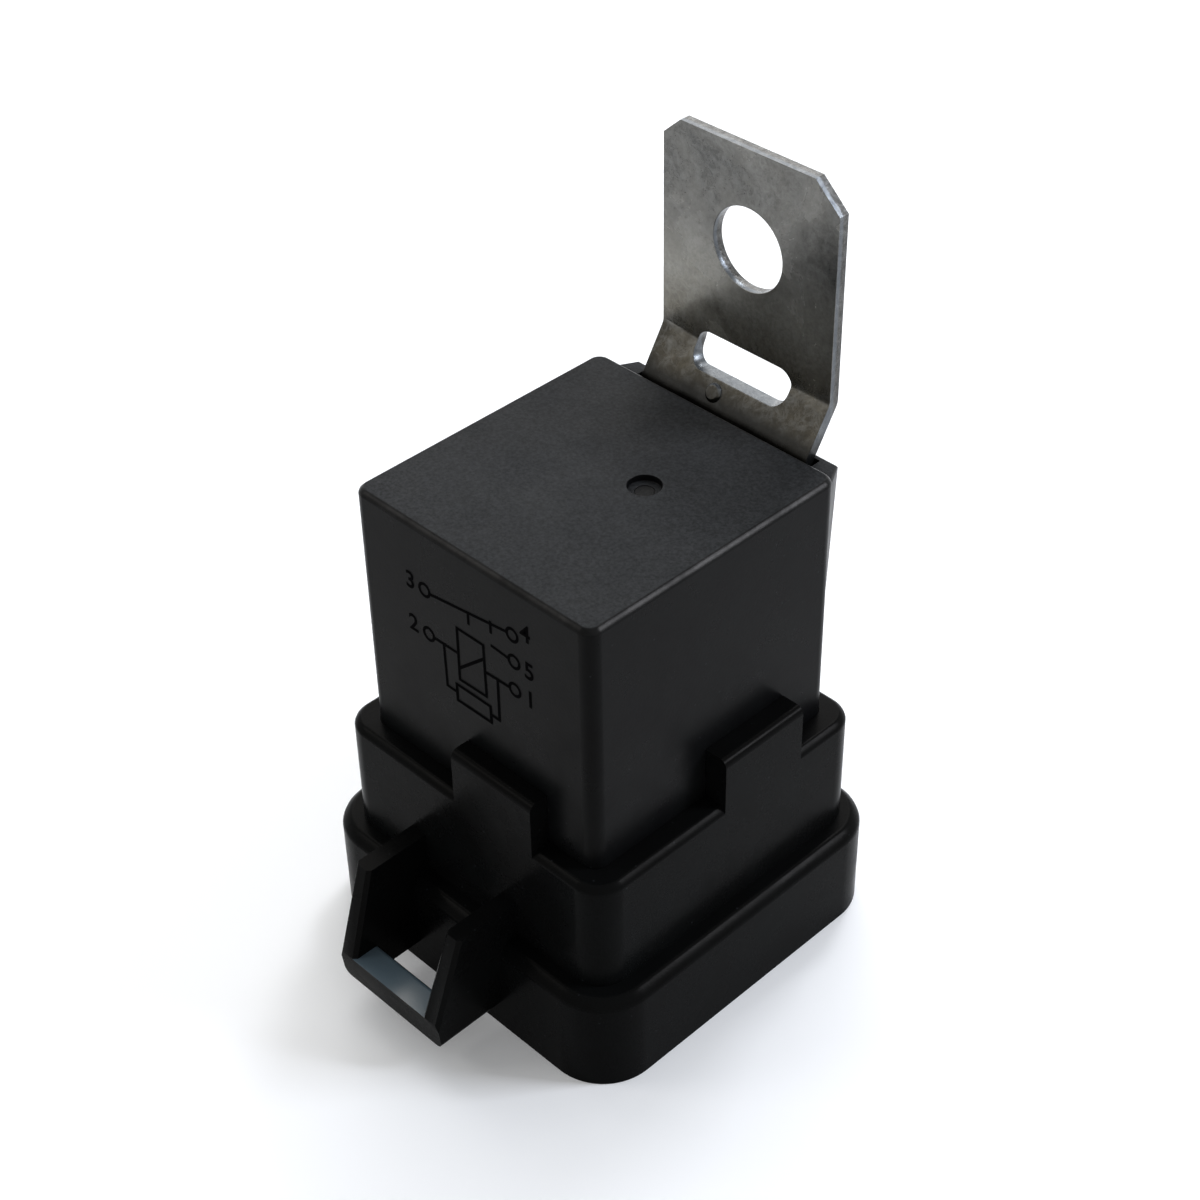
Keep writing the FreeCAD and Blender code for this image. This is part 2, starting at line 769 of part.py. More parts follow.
def make_base():
    """Plate that closes the cover and carries blades and magnet on four posts."""
    body = new_body("base", z=S.seal_level + S.seal_thick)
    half_width = S.cover_width / 2 - S.cover_wall - S.base_fit
    half_depth = S.cover_depth / 2 - S.cover_wall - S.base_fit
    plate = new_sketch(body, "XY_Plane")
    rectangle(plate, -half_width, half_width, -half_depth, half_depth)
    pad(body, plate, S.base_thick)
    slots = new_sketch(body, "XY_Plane")
    blade_slots(slots, as_size(0))
    pocket(body, slots, S.base_thick, reverse=True)
    posts = new_sketch(body, "XY_Plane", S.base_thick)
    for side in (-1, 1):
        inner = side * (S.yoke_half - S.post_size)
        outer = side * S.yoke_half
        low, high = (outer, inner) if side < 0 else (inner, outer)
        rectangle(posts, low, high, S.post_size / 2, S.post_size * 3 / 2)
    pad(body, posts, S.post_height)
    return body


def make_seal():
    """Poured resin under the base plate."""
    body = new_body("potting_seal", z=S.seal_level)
    half_width = S.cover_width / 2 - S.cover_wall - S.base_fit / 2
    half_depth = S.cover_depth / 2 - S.cover_wall - S.base_fit / 2
    plate = new_sketch(body, "XY_Plane")
    rectangle(plate, -half_width, half_width, -half_depth, half_depth)
    pad(body, plate, S.seal_thick)
    slots = new_sketch(body, "XY_Plane")
    blade_slots(slots, as_size(0))
    pocket(body, slots, S.seal_thick, reverse=True)
    return body


BASE_TOP = S.seal_level + S.seal_thick + S.base_thick


def make_blade(label, x, y, along_x):
    """Blade with a pointed tip and its locating hole, its origin on the base plate's top."""
    body = new_body(label, x=x, y=y, z=BASE_TOP)
    role = "XZ_Plane" if along_x else "YZ_Plane"
    half = S.blade_width / 2
    tip = S.seal_level - S.blade_length - BASE_TOP
    outline = new_sketch(body, role)
    polygon(outline, [(-half, S.foot_thick), (-half, tip + S.blade_tip), (S.blade_tip - half, tip),
                      (half - S.blade_tip, tip), (half, tip + S.blade_tip), (half, S.foot_thick)])
    pad(body, outline, S.blade_thick, both=True)
    hole = new_sketch(body, role)
    ring(hole, 0, tip + S.blade_hole_level, S.blade_hole)
    pocket(body, hole, 2 * S.blade_thick, both=True)
    broad_face_edges = S.blade_thick / 2

    def tip_edges(middle, along, edge):
        across = abs(middle.y) if along_x else abs(middle.x)
        return near(middle.z, tip) and near(across, broad_face_edges)

    chamfer(body, tip_edges, S.blade_thick / 4)
    return body


def add_plates(body, plates, level, thick):
    """Flat plates at one level of a blade's body, given as left, right, front and back."""
    for left, right, front, back in plates:
        sketch = new_sketch(body, "XY_Plane", level)
        rectangle(sketch, left, right, front, back)
        pad(body, sketch, thick)


def make_coil_blade(label, side):
    """Coil terminal: a blade with a narrow post for the wire."""
    body = make_blade(label, side * S.coil_blade_across, as_size(0), along_x=False)
    half_thick, half_post = S.blade_thick / 2, S.coil_post_width / 2
    add_plates(body, [(-half_thick, half_thick, -half_post, half_post)], as_size(0), S.coil_post_height)
    return body


def make_common_blade():
    """Common terminal: the blade runs over the base plate and up the yoke's back, where it is welded."""
    body = make_blade("terminal_common", as_size(0), S.common_blade_back, along_x=False)
    weld_front = S.yoke_back - S.common_blade_back
    weld_back = weld_front + S.blade_thick
    foot = (-S.blade_thick / 2, S.weld_outer, weld_front - S.lane_near, weld_back)
    add_plates(body, [foot], as_size(0), S.foot_thick)
    add_plates(body, [(S.weld_inner, S.weld_outer, weld_front, weld_back)], as_size(0), S.weld_height)
    return body


def make_closed_blade():
    """Normally closed terminal: foot to the left lane, riser in front, arm above the leaf."""
    body = make_blade("terminal_closed", as_size(0), as_size(0), along_x=True)
    half, half_thick = S.blade_width / 2, S.blade_thick / 2
    under_top = S.armature_bottom + S.armature_thick + S.leaf_thick + S.contact_height
    arm_level = under_top + S.contact_height + S.contact_rest_gap - BASE_TOP
    feet = [(-S.lane_far, half, -S.foot_front, half_thick),
            (-S.lane_far, -S.lane_near, -S.riser_face, half_thick),
            (-S.riser_outer, -S.lane_near, -S.riser_face, S.blade_thick * 3 - S.riser_face)]
    add_plates(body, feet, as_size(0), S.foot_thick)
    riser = (-S.riser_outer, -S.riser_inner, -S.riser_face, S.blade_thick - S.riser_face)
    add_plates(body, [riser], as_size(0), arm_level + S.blade_thick)
    arm = (-S.riser_outer, S.arm_tip, -S.riser_face, -S.arm_back)
    add_plates(body, [arm], arm_level, S.blade_thick)
    return body


def make_open_blade():
    """Normally open terminal: foot to the right, riser in front, arm below the leaf."""
    body = make_blade("terminal_open", as_size(0), -S.open_blade_front, along_x=True)
    half, half_thick = S.blade_width / 2, S.blade_thick / 2
    face = S.open_blade_front - S.riser_face
    contact_low = S.armature_bottom + S.armature_thick - S.contact_height
    arm_level = contact_low - S.contact_stroke - S.contact_height - S.blade_thick - BASE_TOP
    add_plates(body, [(-half, S.riser_outer, face, half_thick)], as_size(0), S.foot_thick)
    riser = (S.riser_inner, S.riser_outer, face, face + S.blade_thick)
    add_plates(body, [riser], as_size(0), arm_level + S.blade_thick)
    arm = (-S.arm_tip, S.riser_outer, face, S.open_blade_front - S.arm_back)
    add_plates(body, [arm], arm_level, S.blade_thick)
    return body


# Magnet

def make_yoke():
    """Bent iron yoke: bottom leg under the coil, back leg up to the armature."""
    body = new_body("yoke", z=S.yoke_seat)
    profile = new_sketch(body, "YZ_Plane")
    inner = S.yoke_back - S.yoke_thick
    height = S.yoke_top - S.yoke_seat
    polygon(profile, [(-S.yoke_front, 0), (S.yoke_back, 0), (S.yoke_back, height), (inner, height),
                      (inner, S.yoke_thick), (-S.yoke_front, S.yoke_thick)])
    pad(body, profile, 2 * S.yoke_half, both=True)
    fillet(body, lambda middle, along, edge: near(middle.z, 0) and near(middle.y, S.yoke_back), S.yoke_bend)
    bore = new_sketch(body, "XY_Plane")
    ring(bore, 0, S.coil_back, S.core_radius)
    pocket(body, bore, S.yoke_thick, reverse=True)
    rivet_holes = new_sketch(body, "XZ_Plane")
    for level in (S.foot_rivet_low, S.foot_rivet_high):
        ring(rivet_holes, 0, level - S.yoke_seat, S.rivet_shank)
    pocket(body, rivet_holes, S.yoke_back)
    return body


def make_core():
    """Iron core with its pole face, turned in one profile."""
    body = new_body("core", y=S.coil_back, z=S.yoke_seat)
    profile = new_sketch(body, "XZ_Plane")
    shoulder = S.flange_top - S.yoke_seat
    top = S.pole_top - S.yoke_seat
    polygon(profile, [(0, 0), (S.core_radius, 0), (S.core_radius, shoulder), (S.pole_radius, shoulder),
                      (S.pole_radius, top), (0, top)])
    turn = body.newObject("PartDesign::Revolution", "core_turned")
    turn.Profile = profile
    turn.ReferenceAxis = (origin_plane(body, "Z_Axis"), [""])
    turn.Angle = 360
    doc.recompute()
    return body


def make_bobbin():
    """Moulded spool: two square flanges and a tube round the core."""
    body = new_body("bobbin", y=S.coil_back, z=S.yoke_seat + S.yoke_thick)
    span = S.flange_top - S.yoke_seat - S.yoke_thick
    tube = new_sketch(body, "XY_Plane")
    ring(tube, 0, 0, S.core_radius + S.tube_wall)
    pad(body, tube, span)
    for level in (as_size(0), span - S.flange_thick):
        flange = new_sketch(body, "XY_Plane", level)
        rectangle(flange, -S.flange_half, S.flange_half, -S.flange_half, S.flange_half)
        pad(body, flange, S.flange_thick)
    bore = new_sketch(body, "XY_Plane")
    ring(bore, 0, 0, S.core_radius)
    pocket(body, bore, span, reverse=True)
    return body


def make_sleeve(label, inner, outer, gap):
    """Ring between the flanges: the winding, or the tape round it."""
    body = new_body(label, y=S.coil_back, z=S.yoke_seat + S.yoke_thick + S.flange_thick + gap)
    sketch = new_sketch(body, "XY_Plane")
    ring(sketch, 0, 0, inner, outer)
    span = S.flange_top - S.yoke_seat - S.yoke_thick - 2 * S.flange_thick
    pad(body, sketch, span - 2 * gap)
    return body


# Armature, leaf and contacts

def make_armature():
    """Iron plate over the pole, narrowed at its front."""
    body = new_body("armature", z=S.armature_bottom)
    outline = new_sketch(body, "XY_Plane")
    half, nose = S.armature_half, S.armature_nose
    waist = S.coil_back - S.pole_radius
    polygon(outline, [(-half, S.armature_back), (-half, waist), (-nose, -S.armature_front),
                      (nose, -S.armature_front), (half, waist), (half, S.armature_back)])
    pad(body, outline, S.armature_thick)
    holes = new_sketch(body, "XY_Plane")
    for along in (-S.rivet_front, S.rivet_rear):
        ring(holes, 0, along, S.rivet_shank)
    pocket(body, holes, S.armature_thick, reverse=True)
    return body


LEAF_BOTTOM = S.armature_bottom + S.armature_thick


def make_leaf():
    """Flat spring on the armature, bent down behind it to the split line at the hinge."""
    body = new_body("contact_leaf", z=LEAF_BOTTOM)
    profile = new_sketch(body, "YZ_Plane")
    thick = S.leaf_thick
    back = S.leaf_bend_along + S.leaf_bend
    drop = S.leaf_split - LEAF_BOTTOM
    polygon(profile, [(-S.leaf_front, 0), (back, 0), (back, drop), (back + thick, drop),
                      (back + thick, thick), (-S.leaf_front, thick)])
    pad(body, profile, 2 * S.leaf_half, both=True)
    fillet(body, lambda middle, along, edge: near(middle.y, back) and near(middle.z, 0) and abs(along.x) > 0.99,
           S.leaf_bend)
    fillet(body, lambda middle, along, edge: near(middle.y, back + thick) and near(middle.z, thick)
           and abs(along.x) > 0.99, S.leaf_bend + thick)
    holes = new_sketch(body, "XY_Plane")
    for along in (-S.rivet_front, S.rivet_rear):
        ring(holes, 0, along, S.rivet_shank)
    ring(holes, 0, -S.contact_along, S.contact_shank)
    pocket(body, holes, thick, reverse=True)
    return body


def make_leaf_foot():
    """The same spring's foot on the yoke's back."""
    body = new_body("leaf_foot", y=S.yoke_back)
    top = S.leaf_split - S.leaf_split_gap
    outline = new_sketch(body, "XZ_Plane")
    rectangle(outline, -S.leaf_half, S.leaf_half, S.leaf_foot_bottom, top)
    pad(body, outline, S.leaf_thick, reverse=True)
    holes = new_sketch(body, "XZ_Plane")
    for level in (S.foot_rivet_low, S.foot_rivet_high):
        ring(holes, 0, level, S.rivet_shank)
    pocket(body, holes, S.leaf_thick, reverse=False)
    return body


def button_profile(base, rise):
    """Half section of a contact button: straight side and bevelled crown, rise may be downwards."""
    crown = S.contact_crown if as_size(rise).number > 0 else -S.contact_crown
    top = base + rise
    return [(S.contact_radius, base), (S.contact_radius, top - crown), (S.contact_radius - S.contact_crown, top)]


def make_moving_contact():
    """Double-sided contact riveted through the leaf."""
    body = new_body("moving_contact", y=-S.contact_along, z=LEAF_BOTTOM)
    profile = new_sketch(body, "XZ_Plane")
    below = button_profile(as_size(0), -S.contact_height)
    above = button_profile(S.leaf_thick, S.contact_height)
    polygon(profile, [(0, -S.contact_height)] + below[::-1] + [(S.contact_shank, 0),
            (S.contact_shank, S.leaf_thick)] + above + [(0, S.leaf_thick + S.contact_height)])
    turn_about_axis(body, profile)
    return body


def make_fixed_contact(label, level, rise):
    """Button of a fixed contact on its arm."""
    body = new_body(label, y=-S.contact_along, z=level)
    profile = new_sketch(body, "XZ_Plane")
    outline = button_profile(as_size(0), rise)
    polygon(profile, [(0, 0)] + outline + [(0, rise)])
    turn_about_axis(body, profile)
    return body


def turn_about_axis(body, profile):
    """Full turn of a half section about the body's Z axis."""
    turn = body.newObject("PartDesign::Revolution", f"{body.Label}_turned")
    turn.Profile = profile
    turn.ReferenceAxis = (origin_plane(body, "Z_Axis"), [""])
    turn.Angle = 360
    doc.recompute()


def make_upright_rivet(label, along):
    """Rivet through armature and leaf, its head on the leaf."""
    body = new_body(label, y=along, z=S.armature_bottom)
    profile = new_sketch(body, "XZ_Plane")
    grip = S.armature_thick + S.leaf_thick
    polygon(profile, [(0, 0), (S.rivet_shank, 0), (S.rivet_shank, grip), (S.rivet_head, grip),
                      (S.rivet_shank, grip + S.rivet_rise), (0, grip + S.rivet_rise)])
    turn_about_axis(body, profile)
    return body


def make_level_rivet(label, level):
    """Rivet through the yoke and the leaf's foot, its head behind the foot."""
    body = new_body(label, y=S.yoke_back - S.yoke_thick, z=level)
    profile = new_sketch(body, "XY_Plane")
    grip = S.yoke_thick + S.leaf_thick
    polygon(profile, [(0, 0), (S.rivet_shank, 0), (S.rivet_shank, grip), (S.rivet_head, grip),
                      (S.rivet_shank, grip + S.rivet_rise), (0, grip + S.rivet_rise)])
    turn = body.newObject("PartDesign::Revolution", f"{label}_turned")
    turn.Profile = profile
    turn.ReferenceAxis = (origin_plane(body, "Y_Axis"), [""])
    turn.Angle = 360
    doc.recompute()
    return body


# Resistor and wires

def make_resistor():
    """Round resistor with bevelled ends, lying across the front of the coil."""
    body = new_body("resistor", y=-S.resistor_front, z=S.resistor_level)
    sketch = new_sketch(body, "YZ_Plane")
    ring(sketch, 0, 0, S.resistor_radius)
    pad(body, sketch, 2 * S.resistor_half, both=True)
    chamfer(body, lambda middle, along, edge: near(abs(middle.x), S.resistor_half), S.resistor_radius / 3)
    return body


def straight_wire(label, points, radius):
    """Round wire in straight runs with mitred corners."""
    corners = [FreeCAD.Vector(*(as_size(value).number for value in point)) for point in points]
    path = Part.makePolygon(corners)
    section = Part.Wire([Part.makeCircle(radius.number, corners[0], corners[1] - corners[0])])
    mitred = 1
    feature = doc.addObject("Part::Feature", label)
    feature.Label = label
    feature.Shape = path.makePipeShell([section], True, True, mitred)
    return feature


def make_resistor_lead(label, side):
    """Lead from the resistor's end to the coil terminal's post on that side."""
    end = side * S.resistor_half
    post = side * S.coil_blade_across
    points = [(end, -S.resistor_front, S.resistor_level), (post, -S.resistor_front, S.resistor_level),
              (post, -S.coil_post_width / 2, S.resistor_level)]
    return straight_wire(label, points, S.lead_radius)


def make_coil_wire(label, side):
    """End of the coil's wire, from the tape over the flange's edge to the post."""
    start = side * (S.winding_radius + S.tape_thick)
    post = side * (S.coil_blade_across - S.blade_thick / 2)
    points = [(start, S.coil_back, S.wire_level), (post, S.coil_back, S.wire_level)]
    return straight_wire(label, points, S.wire_radius)


# The whole relay

def make_relay():
    """Every node of the relay."""
    parts = [make_cover(), make_vent_plug(), make_skirt(), make_bracket(), make_base(), make_seal()]
    parts.append(make_coil_blade("terminal_coil_right", 1))
    parts.append(make_coil_blade("terminal_coil_left", -1))
    parts += [make_common_blade(), make_closed_blade(), make_open_blade()]
    parts += [make_yoke(), make_core(), make_bobbin()]
    tube = S.core_radius + S.tube_wall
    parts.append(make_sleeve("winding", tube, S.winding_radius, S.winding_gap))
    parts.append(make_sleeve("coil_tape", S.winding_radius, S.winding_radius + S.tape_thick, S.winding_gap))
    parts += [make_armature(), make_leaf(), make_leaf_foot(), make_moving_contact()]
    closed_base = LEAF_BOTTOM + S.leaf_thick + 2 * S.contact_height + S.contact_rest_gap
    open_base = LEAF_BOTTOM - 2 * S.contact_height - S.contact_stroke
    parts.append(make_fixed_contact("contact_closed", closed_base, -S.contact_height))
    parts.append(make_fixed_contact("contact_open", open_base, S.contact_height))
    parts.append(make_upright_rivet("armature_rivet_front", -S.rivet_front))
    parts.append(make_upright_rivet("armature_rivet_rear", S.rivet_rear))
    parts.append(make_level_rivet("foot_rivet_low", S.foot_rivet_low))
    parts.append(make_level_rivet("foot_rivet_high", S.foot_rivet_high))
    parts.append(make_resistor())
    for name, side in (("right", 1), ("left", -1)):
        parts.append(make_resistor_lead(f"resistor_lead_{name}", side))
        parts.append(make_coil_wire(f"coil_wire_{name}", side))
    return parts


def check_document(parts):
    """Stops if any object failed or any part isn't one sound solid."""
    for item in doc.Objects:
        if {"Invalid", "Error"} & set(item.State):
            raise ValueError(f"{item.Name} failed: {item.State}")
    for part in parts:
        shape = part.Shape
        if shape.isNull() or not shape.isValid() or len(shape.Solids) != 1:
            raise ValueError(f"{part.Label} isn't one sound solid")


def write_parts(parts):
    """One STEP file for each node."""
    os.makedirs("parts", exist_ok=True)
    for part in parts:
        part.Shape.exportStep(os.path.join("parts", f"{part.Label}.step"))


relay_parts = make_relay()
doc.recompute()
check_document(relay_parts)
write_parts(relay_parts)
print(f"{len(relay_parts)} parts written")
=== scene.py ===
# %% [markdown]
# A weatherproof automotive relay, dressed for its portrait.
#
# The relay is a black moulded cap on a black moulded skirt, with a joggled strip of zinc plated steel
# behind it. The solids come ready made from the CAD model. This file gives them their camera, light,
# soft edges and finishes, and adds the thin printed things that a solid model leaves out.

# %% Load the solids
import math

import bpy
import bmesh
from mathutils import Matrix, Vector


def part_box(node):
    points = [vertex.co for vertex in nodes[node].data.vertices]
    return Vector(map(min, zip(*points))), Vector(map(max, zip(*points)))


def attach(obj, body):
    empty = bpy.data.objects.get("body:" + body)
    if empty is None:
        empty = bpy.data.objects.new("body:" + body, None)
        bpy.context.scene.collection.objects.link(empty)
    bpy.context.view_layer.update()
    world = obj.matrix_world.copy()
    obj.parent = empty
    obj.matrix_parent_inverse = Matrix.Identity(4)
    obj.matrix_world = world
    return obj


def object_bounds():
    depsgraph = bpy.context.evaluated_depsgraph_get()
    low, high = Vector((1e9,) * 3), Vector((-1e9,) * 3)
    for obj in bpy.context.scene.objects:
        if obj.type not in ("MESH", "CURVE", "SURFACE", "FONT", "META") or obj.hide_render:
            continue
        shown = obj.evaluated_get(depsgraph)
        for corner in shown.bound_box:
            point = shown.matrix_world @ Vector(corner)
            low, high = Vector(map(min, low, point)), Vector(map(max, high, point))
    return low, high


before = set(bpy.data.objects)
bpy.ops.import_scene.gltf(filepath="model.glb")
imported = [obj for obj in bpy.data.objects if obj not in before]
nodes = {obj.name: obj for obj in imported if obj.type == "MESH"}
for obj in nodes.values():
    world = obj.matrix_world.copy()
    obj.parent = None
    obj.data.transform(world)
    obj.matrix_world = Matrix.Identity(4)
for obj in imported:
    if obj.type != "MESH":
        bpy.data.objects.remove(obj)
cad_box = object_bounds()
MM = 0.001

# %% [markdown]
# The camera comes first, because every later choice is judged through it. The photograph looks down on
# one corner from close by, so its verticals lean together. Its direction, roll and distance were solved
# from corners whose places on the relay are known. The lens follows from the same solution, on a
# 36 mm wide sensor.

# %% Camera
TURN, HEIGHT, ROLL = (math.radians(angle) for angle in (45.995, 38.579, -1.158))
look_at = Vector((0, 0, 27.155))
ASIDE, RAISED, AWAY = 0.112, 5.893, 201.232  # Millimetres from the point looked at.

toward = Vector((math.sin(TURN) * math.cos(HEIGHT), -math.cos(TURN) * math.cos(HEIGHT), math.sin(HEIGHT)))
level = Vector((math.cos(TURN), math.sin(TURN), 0))
upward = toward.cross(level)
right = math.cos(ROLL) * level + math.sin(ROLL) * upward
top = math.cos(ROLL) * upward - math.sin(ROLL) * level
stand = look_at + ASIDE * right + RAISED * top + AWAY * toward

camera_data = bpy.data.cameras.new("camera")
camera_data.sensor_fit = "HORIZONTAL"
camera_data.sensor_width = 36.0
camera_data.lens = 68.777
camera_data.clip_start = 0.01
camera = bpy.data.objects.new("camera", camera_data)
bpy.context.scene.collection.objects.link(camera)
camera.matrix_world = Matrix((
    (right.x, top.x, toward.x, stand.x * MM),
    (right.y, top.y, toward.y, stand.y * MM),
    (right.z, top.z, toward.z, stand.z * MM),
    (0, 0, 0, 1)))
bpy.context.scene.camera = camera
print(f"camera {(stand * MM).length:.3f} m from the origin")

# %% [markdown]
# Three small helpers serve every material. Colours are written as sRGB hex values, as a picture editor
# shows them, and Blender wants linear light, so one function turns them. Another adds one node with its
# settings, its plain values, its links and, on a colour ramp, its stops, so that a material reads from
# top to bottom like a recipe. The third starts an empty material.

# %% Colour and node helpers
def linear(hex_colour, alpha=1.0):
    """Linear light for an sRGB hex colour."""
    channels = [int(hex_colour[place:place + 2], 16) / 255 for place in (1, 3, 5)]
    curve = [c / 12.92 if c <= 0.04045 else ((c + 0.055) / 1.055) ** 2.4 for c in channels]
    return (*curve, alpha)


def add_node(tree, kind, values=None, links=None, stops=(), **settings):
    """A node with its settings, the plain values of its inputs, its links and a ramp's stops in order."""
    node = tree.nodes.new(kind)
    for name, setting in settings.items():
        setattr(node, name, setting)
    for name, value in (values or {}).items():
        node.inputs[name].default_value = value
    for name, output in (links or {}).items():
        tree.links.new(output, node.inputs[name])
    for count, (place, hex_colour) in enumerate(stops):
        ramp = node.color_ramp.elements
        stop = ramp[count] if count < len(ramp) else ramp.new(place)
        stop.position, stop.color = place, linear(hex_colour)
    return node


def new_finish(name):
    """An empty node material and its tree."""
    finish = bpy.data.materials.new(name)
    finish.use_nodes = True
    finish.node_tree.nodes.clear()
    return finish, finish.node_tree


print("white is", linear("#ffffff")[:3])

# %% [markdown]
# The background is plain white, as in the catalogue picture. A white world of strength 1 is shown to the
# camera and to mirrored and transmitted rays, so that the metal mirrors white, while the light that
# falls on the relay from all round is dimmer.

# %% World
def seen_or_mirrored(tree):
    """1 for rays that come from the camera, from a mirror or through glass, and 0 for light."""
    rays = add_node(tree, "ShaderNodeLightPath")
    plain = add_node(tree, "ShaderNodeMath", operation="MAXIMUM", links={
        0: rays.outputs["Is Camera Ray"], 1: rays.outputs["Is Glossy Ray"]})
    return add_node(tree, "ShaderNodeMath", operation="MAXIMUM", links={
        0: plain.outputs[0], 1: rays.outputs["Is Transmission Ray"]}).outputs[0]


world = bpy.data.worlds.new("studio_air")
world.use_nodes = True
bpy.context.scene.world = world
air = world.node_tree
air.nodes.clear()
room = add_node(air, "ShaderNodeBackground", values={"Color": linear("#eef0f2"), "Strength": 0.45})
backdrop = add_node(air, "ShaderNodeBackground", values={"Color": linear("#ffffff"), "Strength": 1.0})
shown = add_node(air, "ShaderNodeMixShader", links={
    0: seen_or_mirrored(air), 1: room.outputs[0], 2: backdrop.outputs[0]})
add_node(air, "ShaderNodeOutputWorld", links={"Surface": shown.outputs[0]})
print("world", world.name)

# %% [markdown]
# The floor is a pale matt paper that keeps the relay's soft shadow. A little light of its own, which
# only the camera and mirrors see, lifts it to white. Far from the relay the lamps reach it less, and a
# low view would show a grey band there, so its own light grows with the distance.

# %% Floor
FLOOR_HALF = 3.0
FLOOR_GAP = 0.05 * MM

paper, tree = new_finish("white_paper")
sheet = add_node(tree, "ShaderNodeBsdfPrincipled", values={
    "Base Color": linear("#f4f4f4"), "Roughness": 0.9, "Specular IOR Level": 0.1})
where = add_node(tree, "ShaderNodeTexCoord")
away = add_node(tree, "ShaderNodeVectorMath", operation="LENGTH", links={0: where.outputs["Object"]})
glow = add_node(tree, "ShaderNodeMapRange", values={
    "From Min": 0.25, "From Max": 1.2, "To Min": 0.12, "To Max": 0.60},
    links={"Value": away.outputs["Value"]})
shown_glow = add_node(tree, "ShaderNodeMath", operation="MULTIPLY", links={
    0: seen_or_mirrored(tree), 1: glow.outputs["Result"]})
lift = add_node(tree, "ShaderNodeEmission", values={"Color": linear("#ffffff")},
                links={"Strength": shown_glow.outputs[0]})
both = add_node(tree, "ShaderNodeAddShader", links={0: sheet.outputs[0], 1: lift.outputs[0]})
add_node(tree, "ShaderNodeOutputMaterial", links={"Surface": both.outputs[0]})

floor_mesh = bpy.data.meshes.new("floor")
floor_mesh.from_pydata([(-FLOOR_HALF, -FLOOR_HALF, 0), (FLOOR_HALF, -FLOOR_HALF, 0),
                        (FLOOR_HALF, FLOOR_HALF, 0), (-FLOOR_HALF, FLOOR_HALF, 0)], [], [(0, 1, 2, 3)])
floor = bpy.data.objects.new("floor", floor_mesh)
floor.location.z = cad_box[0][2] - FLOOR_GAP
bpy.context.scene.collection.objects.link(floor)
floor_mesh.materials.append(paper)
print("floor at", round(floor.location.z, 5))

# %% [markdown]
# Light on black plastic shows only as reflections, so the lamps are placed where the photograph's
# bright places ask for them. A broad soft window stands behind, where the flat top mirrors it. Two
# smaller ones stand at the left and the right, where the rounded rims of the two visible sides mirror
# them as thin bright lines. A small high one gives the glint in the bracket's round hole.

# %% Lamps
def soft_window(name, azimuth, elevation, distance, size, power, colour="#ffffff"):
    """A square area lamp that looks at the middle of the relay, placed in degrees and metres."""
    lamp = bpy.data.lights.new(name, "AREA")
    lamp.color = linear(colour)[:3]
    lamp.shape = "SQUARE"
    lamp.size = size
    lamp.energy = power
    item = bpy.data.objects.new(name, lamp)
    bpy.context.scene.collection.objects.link(item)
    turn, rise = math.radians(azimuth), math.radians(elevation)
    outward = Vector((math.sin(turn) * math.cos(rise), -math.cos(turn) * math.cos(rise), math.sin(rise)))
    item.location = look_at * MM + outward * distance
    item.rotation_euler = outward.to_track_quat("Z", "Y").to_euler()


soft_window("window_behind", azimuth=228, elevation=38, distance=0.75, size=0.90, power=5.8)
soft_window("window_left", azimuth=-46, elevation=38, distance=0.75, size=0.22, power=0.6)
soft_window("window_right", azimuth=134, elevation=34, distance=0.75, size=0.20, power=3.6, colour="#e8eefa")
soft_window("window_high", azimuth=199, elevation=55, distance=0.65, size=0.10, power=0.8, colour="#f2f6ff")
bpy.context.scene.view_settings.view_transform = "Standard"
print(len(bpy.data.lights), "lamps")

# %% [markdown]
# Soft edges. A moulded part has no razor edges: even a sharp corner is up to three tenths of a
# millimetre round, and that small round draws the bright line along it. Rather than model them, modifiers
# make them. Flat faces are first joined to whole faces, then a narrow bevel runs along every edge that
# turns by more than 30 degrees, and weighted normals keep the flats flat.

# %% Soft edge modifiers
SHARP_TURN = math.radians(30.0)
FLAT_TURN = math.radians(0.3)
SAME_PLACE = 0.002 * MM


def soften_edges(node, width_mm):
    """Joins coplanar faces, bevels the sharp edges and keeps the flats flat."""
    item = nodes[node]
    item.data.shade_smooth()
    weld = item.modifiers.new("join_corners", "WELD")
    weld.merge_threshold = SAME_PLACE
    plain = item.modifiers.new("whole_faces", "DECIMATE")
    plain.decimate_type = "DISSOLVE"
    plain.angle_limit = FLAT_TURN
    bevel = item.modifiers.new("soft_edges", "BEVEL")
    bevel.limit_method = "ANGLE"
    bevel.angle_limit = SHARP_TURN
    bevel.width = width_mm * MM
    bevel.segments = 2
    bevel.use_clamp_overlap = True
    bevel.harden_normals = False
    bevel.miter_outer = "MITER_ARC"
    weights = item.modifiers.new("flat_flats", "WEIGHTED_NORMAL")
    weights.weight = 100
    weights.keep_sharp = True


BLADES = [f"terminal_{job}" for job in ("coil_right", "coil_left", "common", "closed", "open")]
EDGE_WIDTHS = {"cover": 0.12, "skirt": 0.28, "mounting_bracket": 0.10, "base": 0.10, "potting_seal": 0.05,
               "yoke": 0.12, "core": 0.10, "bobbin": 0.10, "armature": 0.10, "vent_plug": 0.05}
EDGE_WIDTHS.update({blade: 0.08 for blade in BLADES})
for node, width in EDGE_WIDTHS.items():
    soften_edges(node, width)
print("softened", ", ".join(EDGE_WIDTHS))
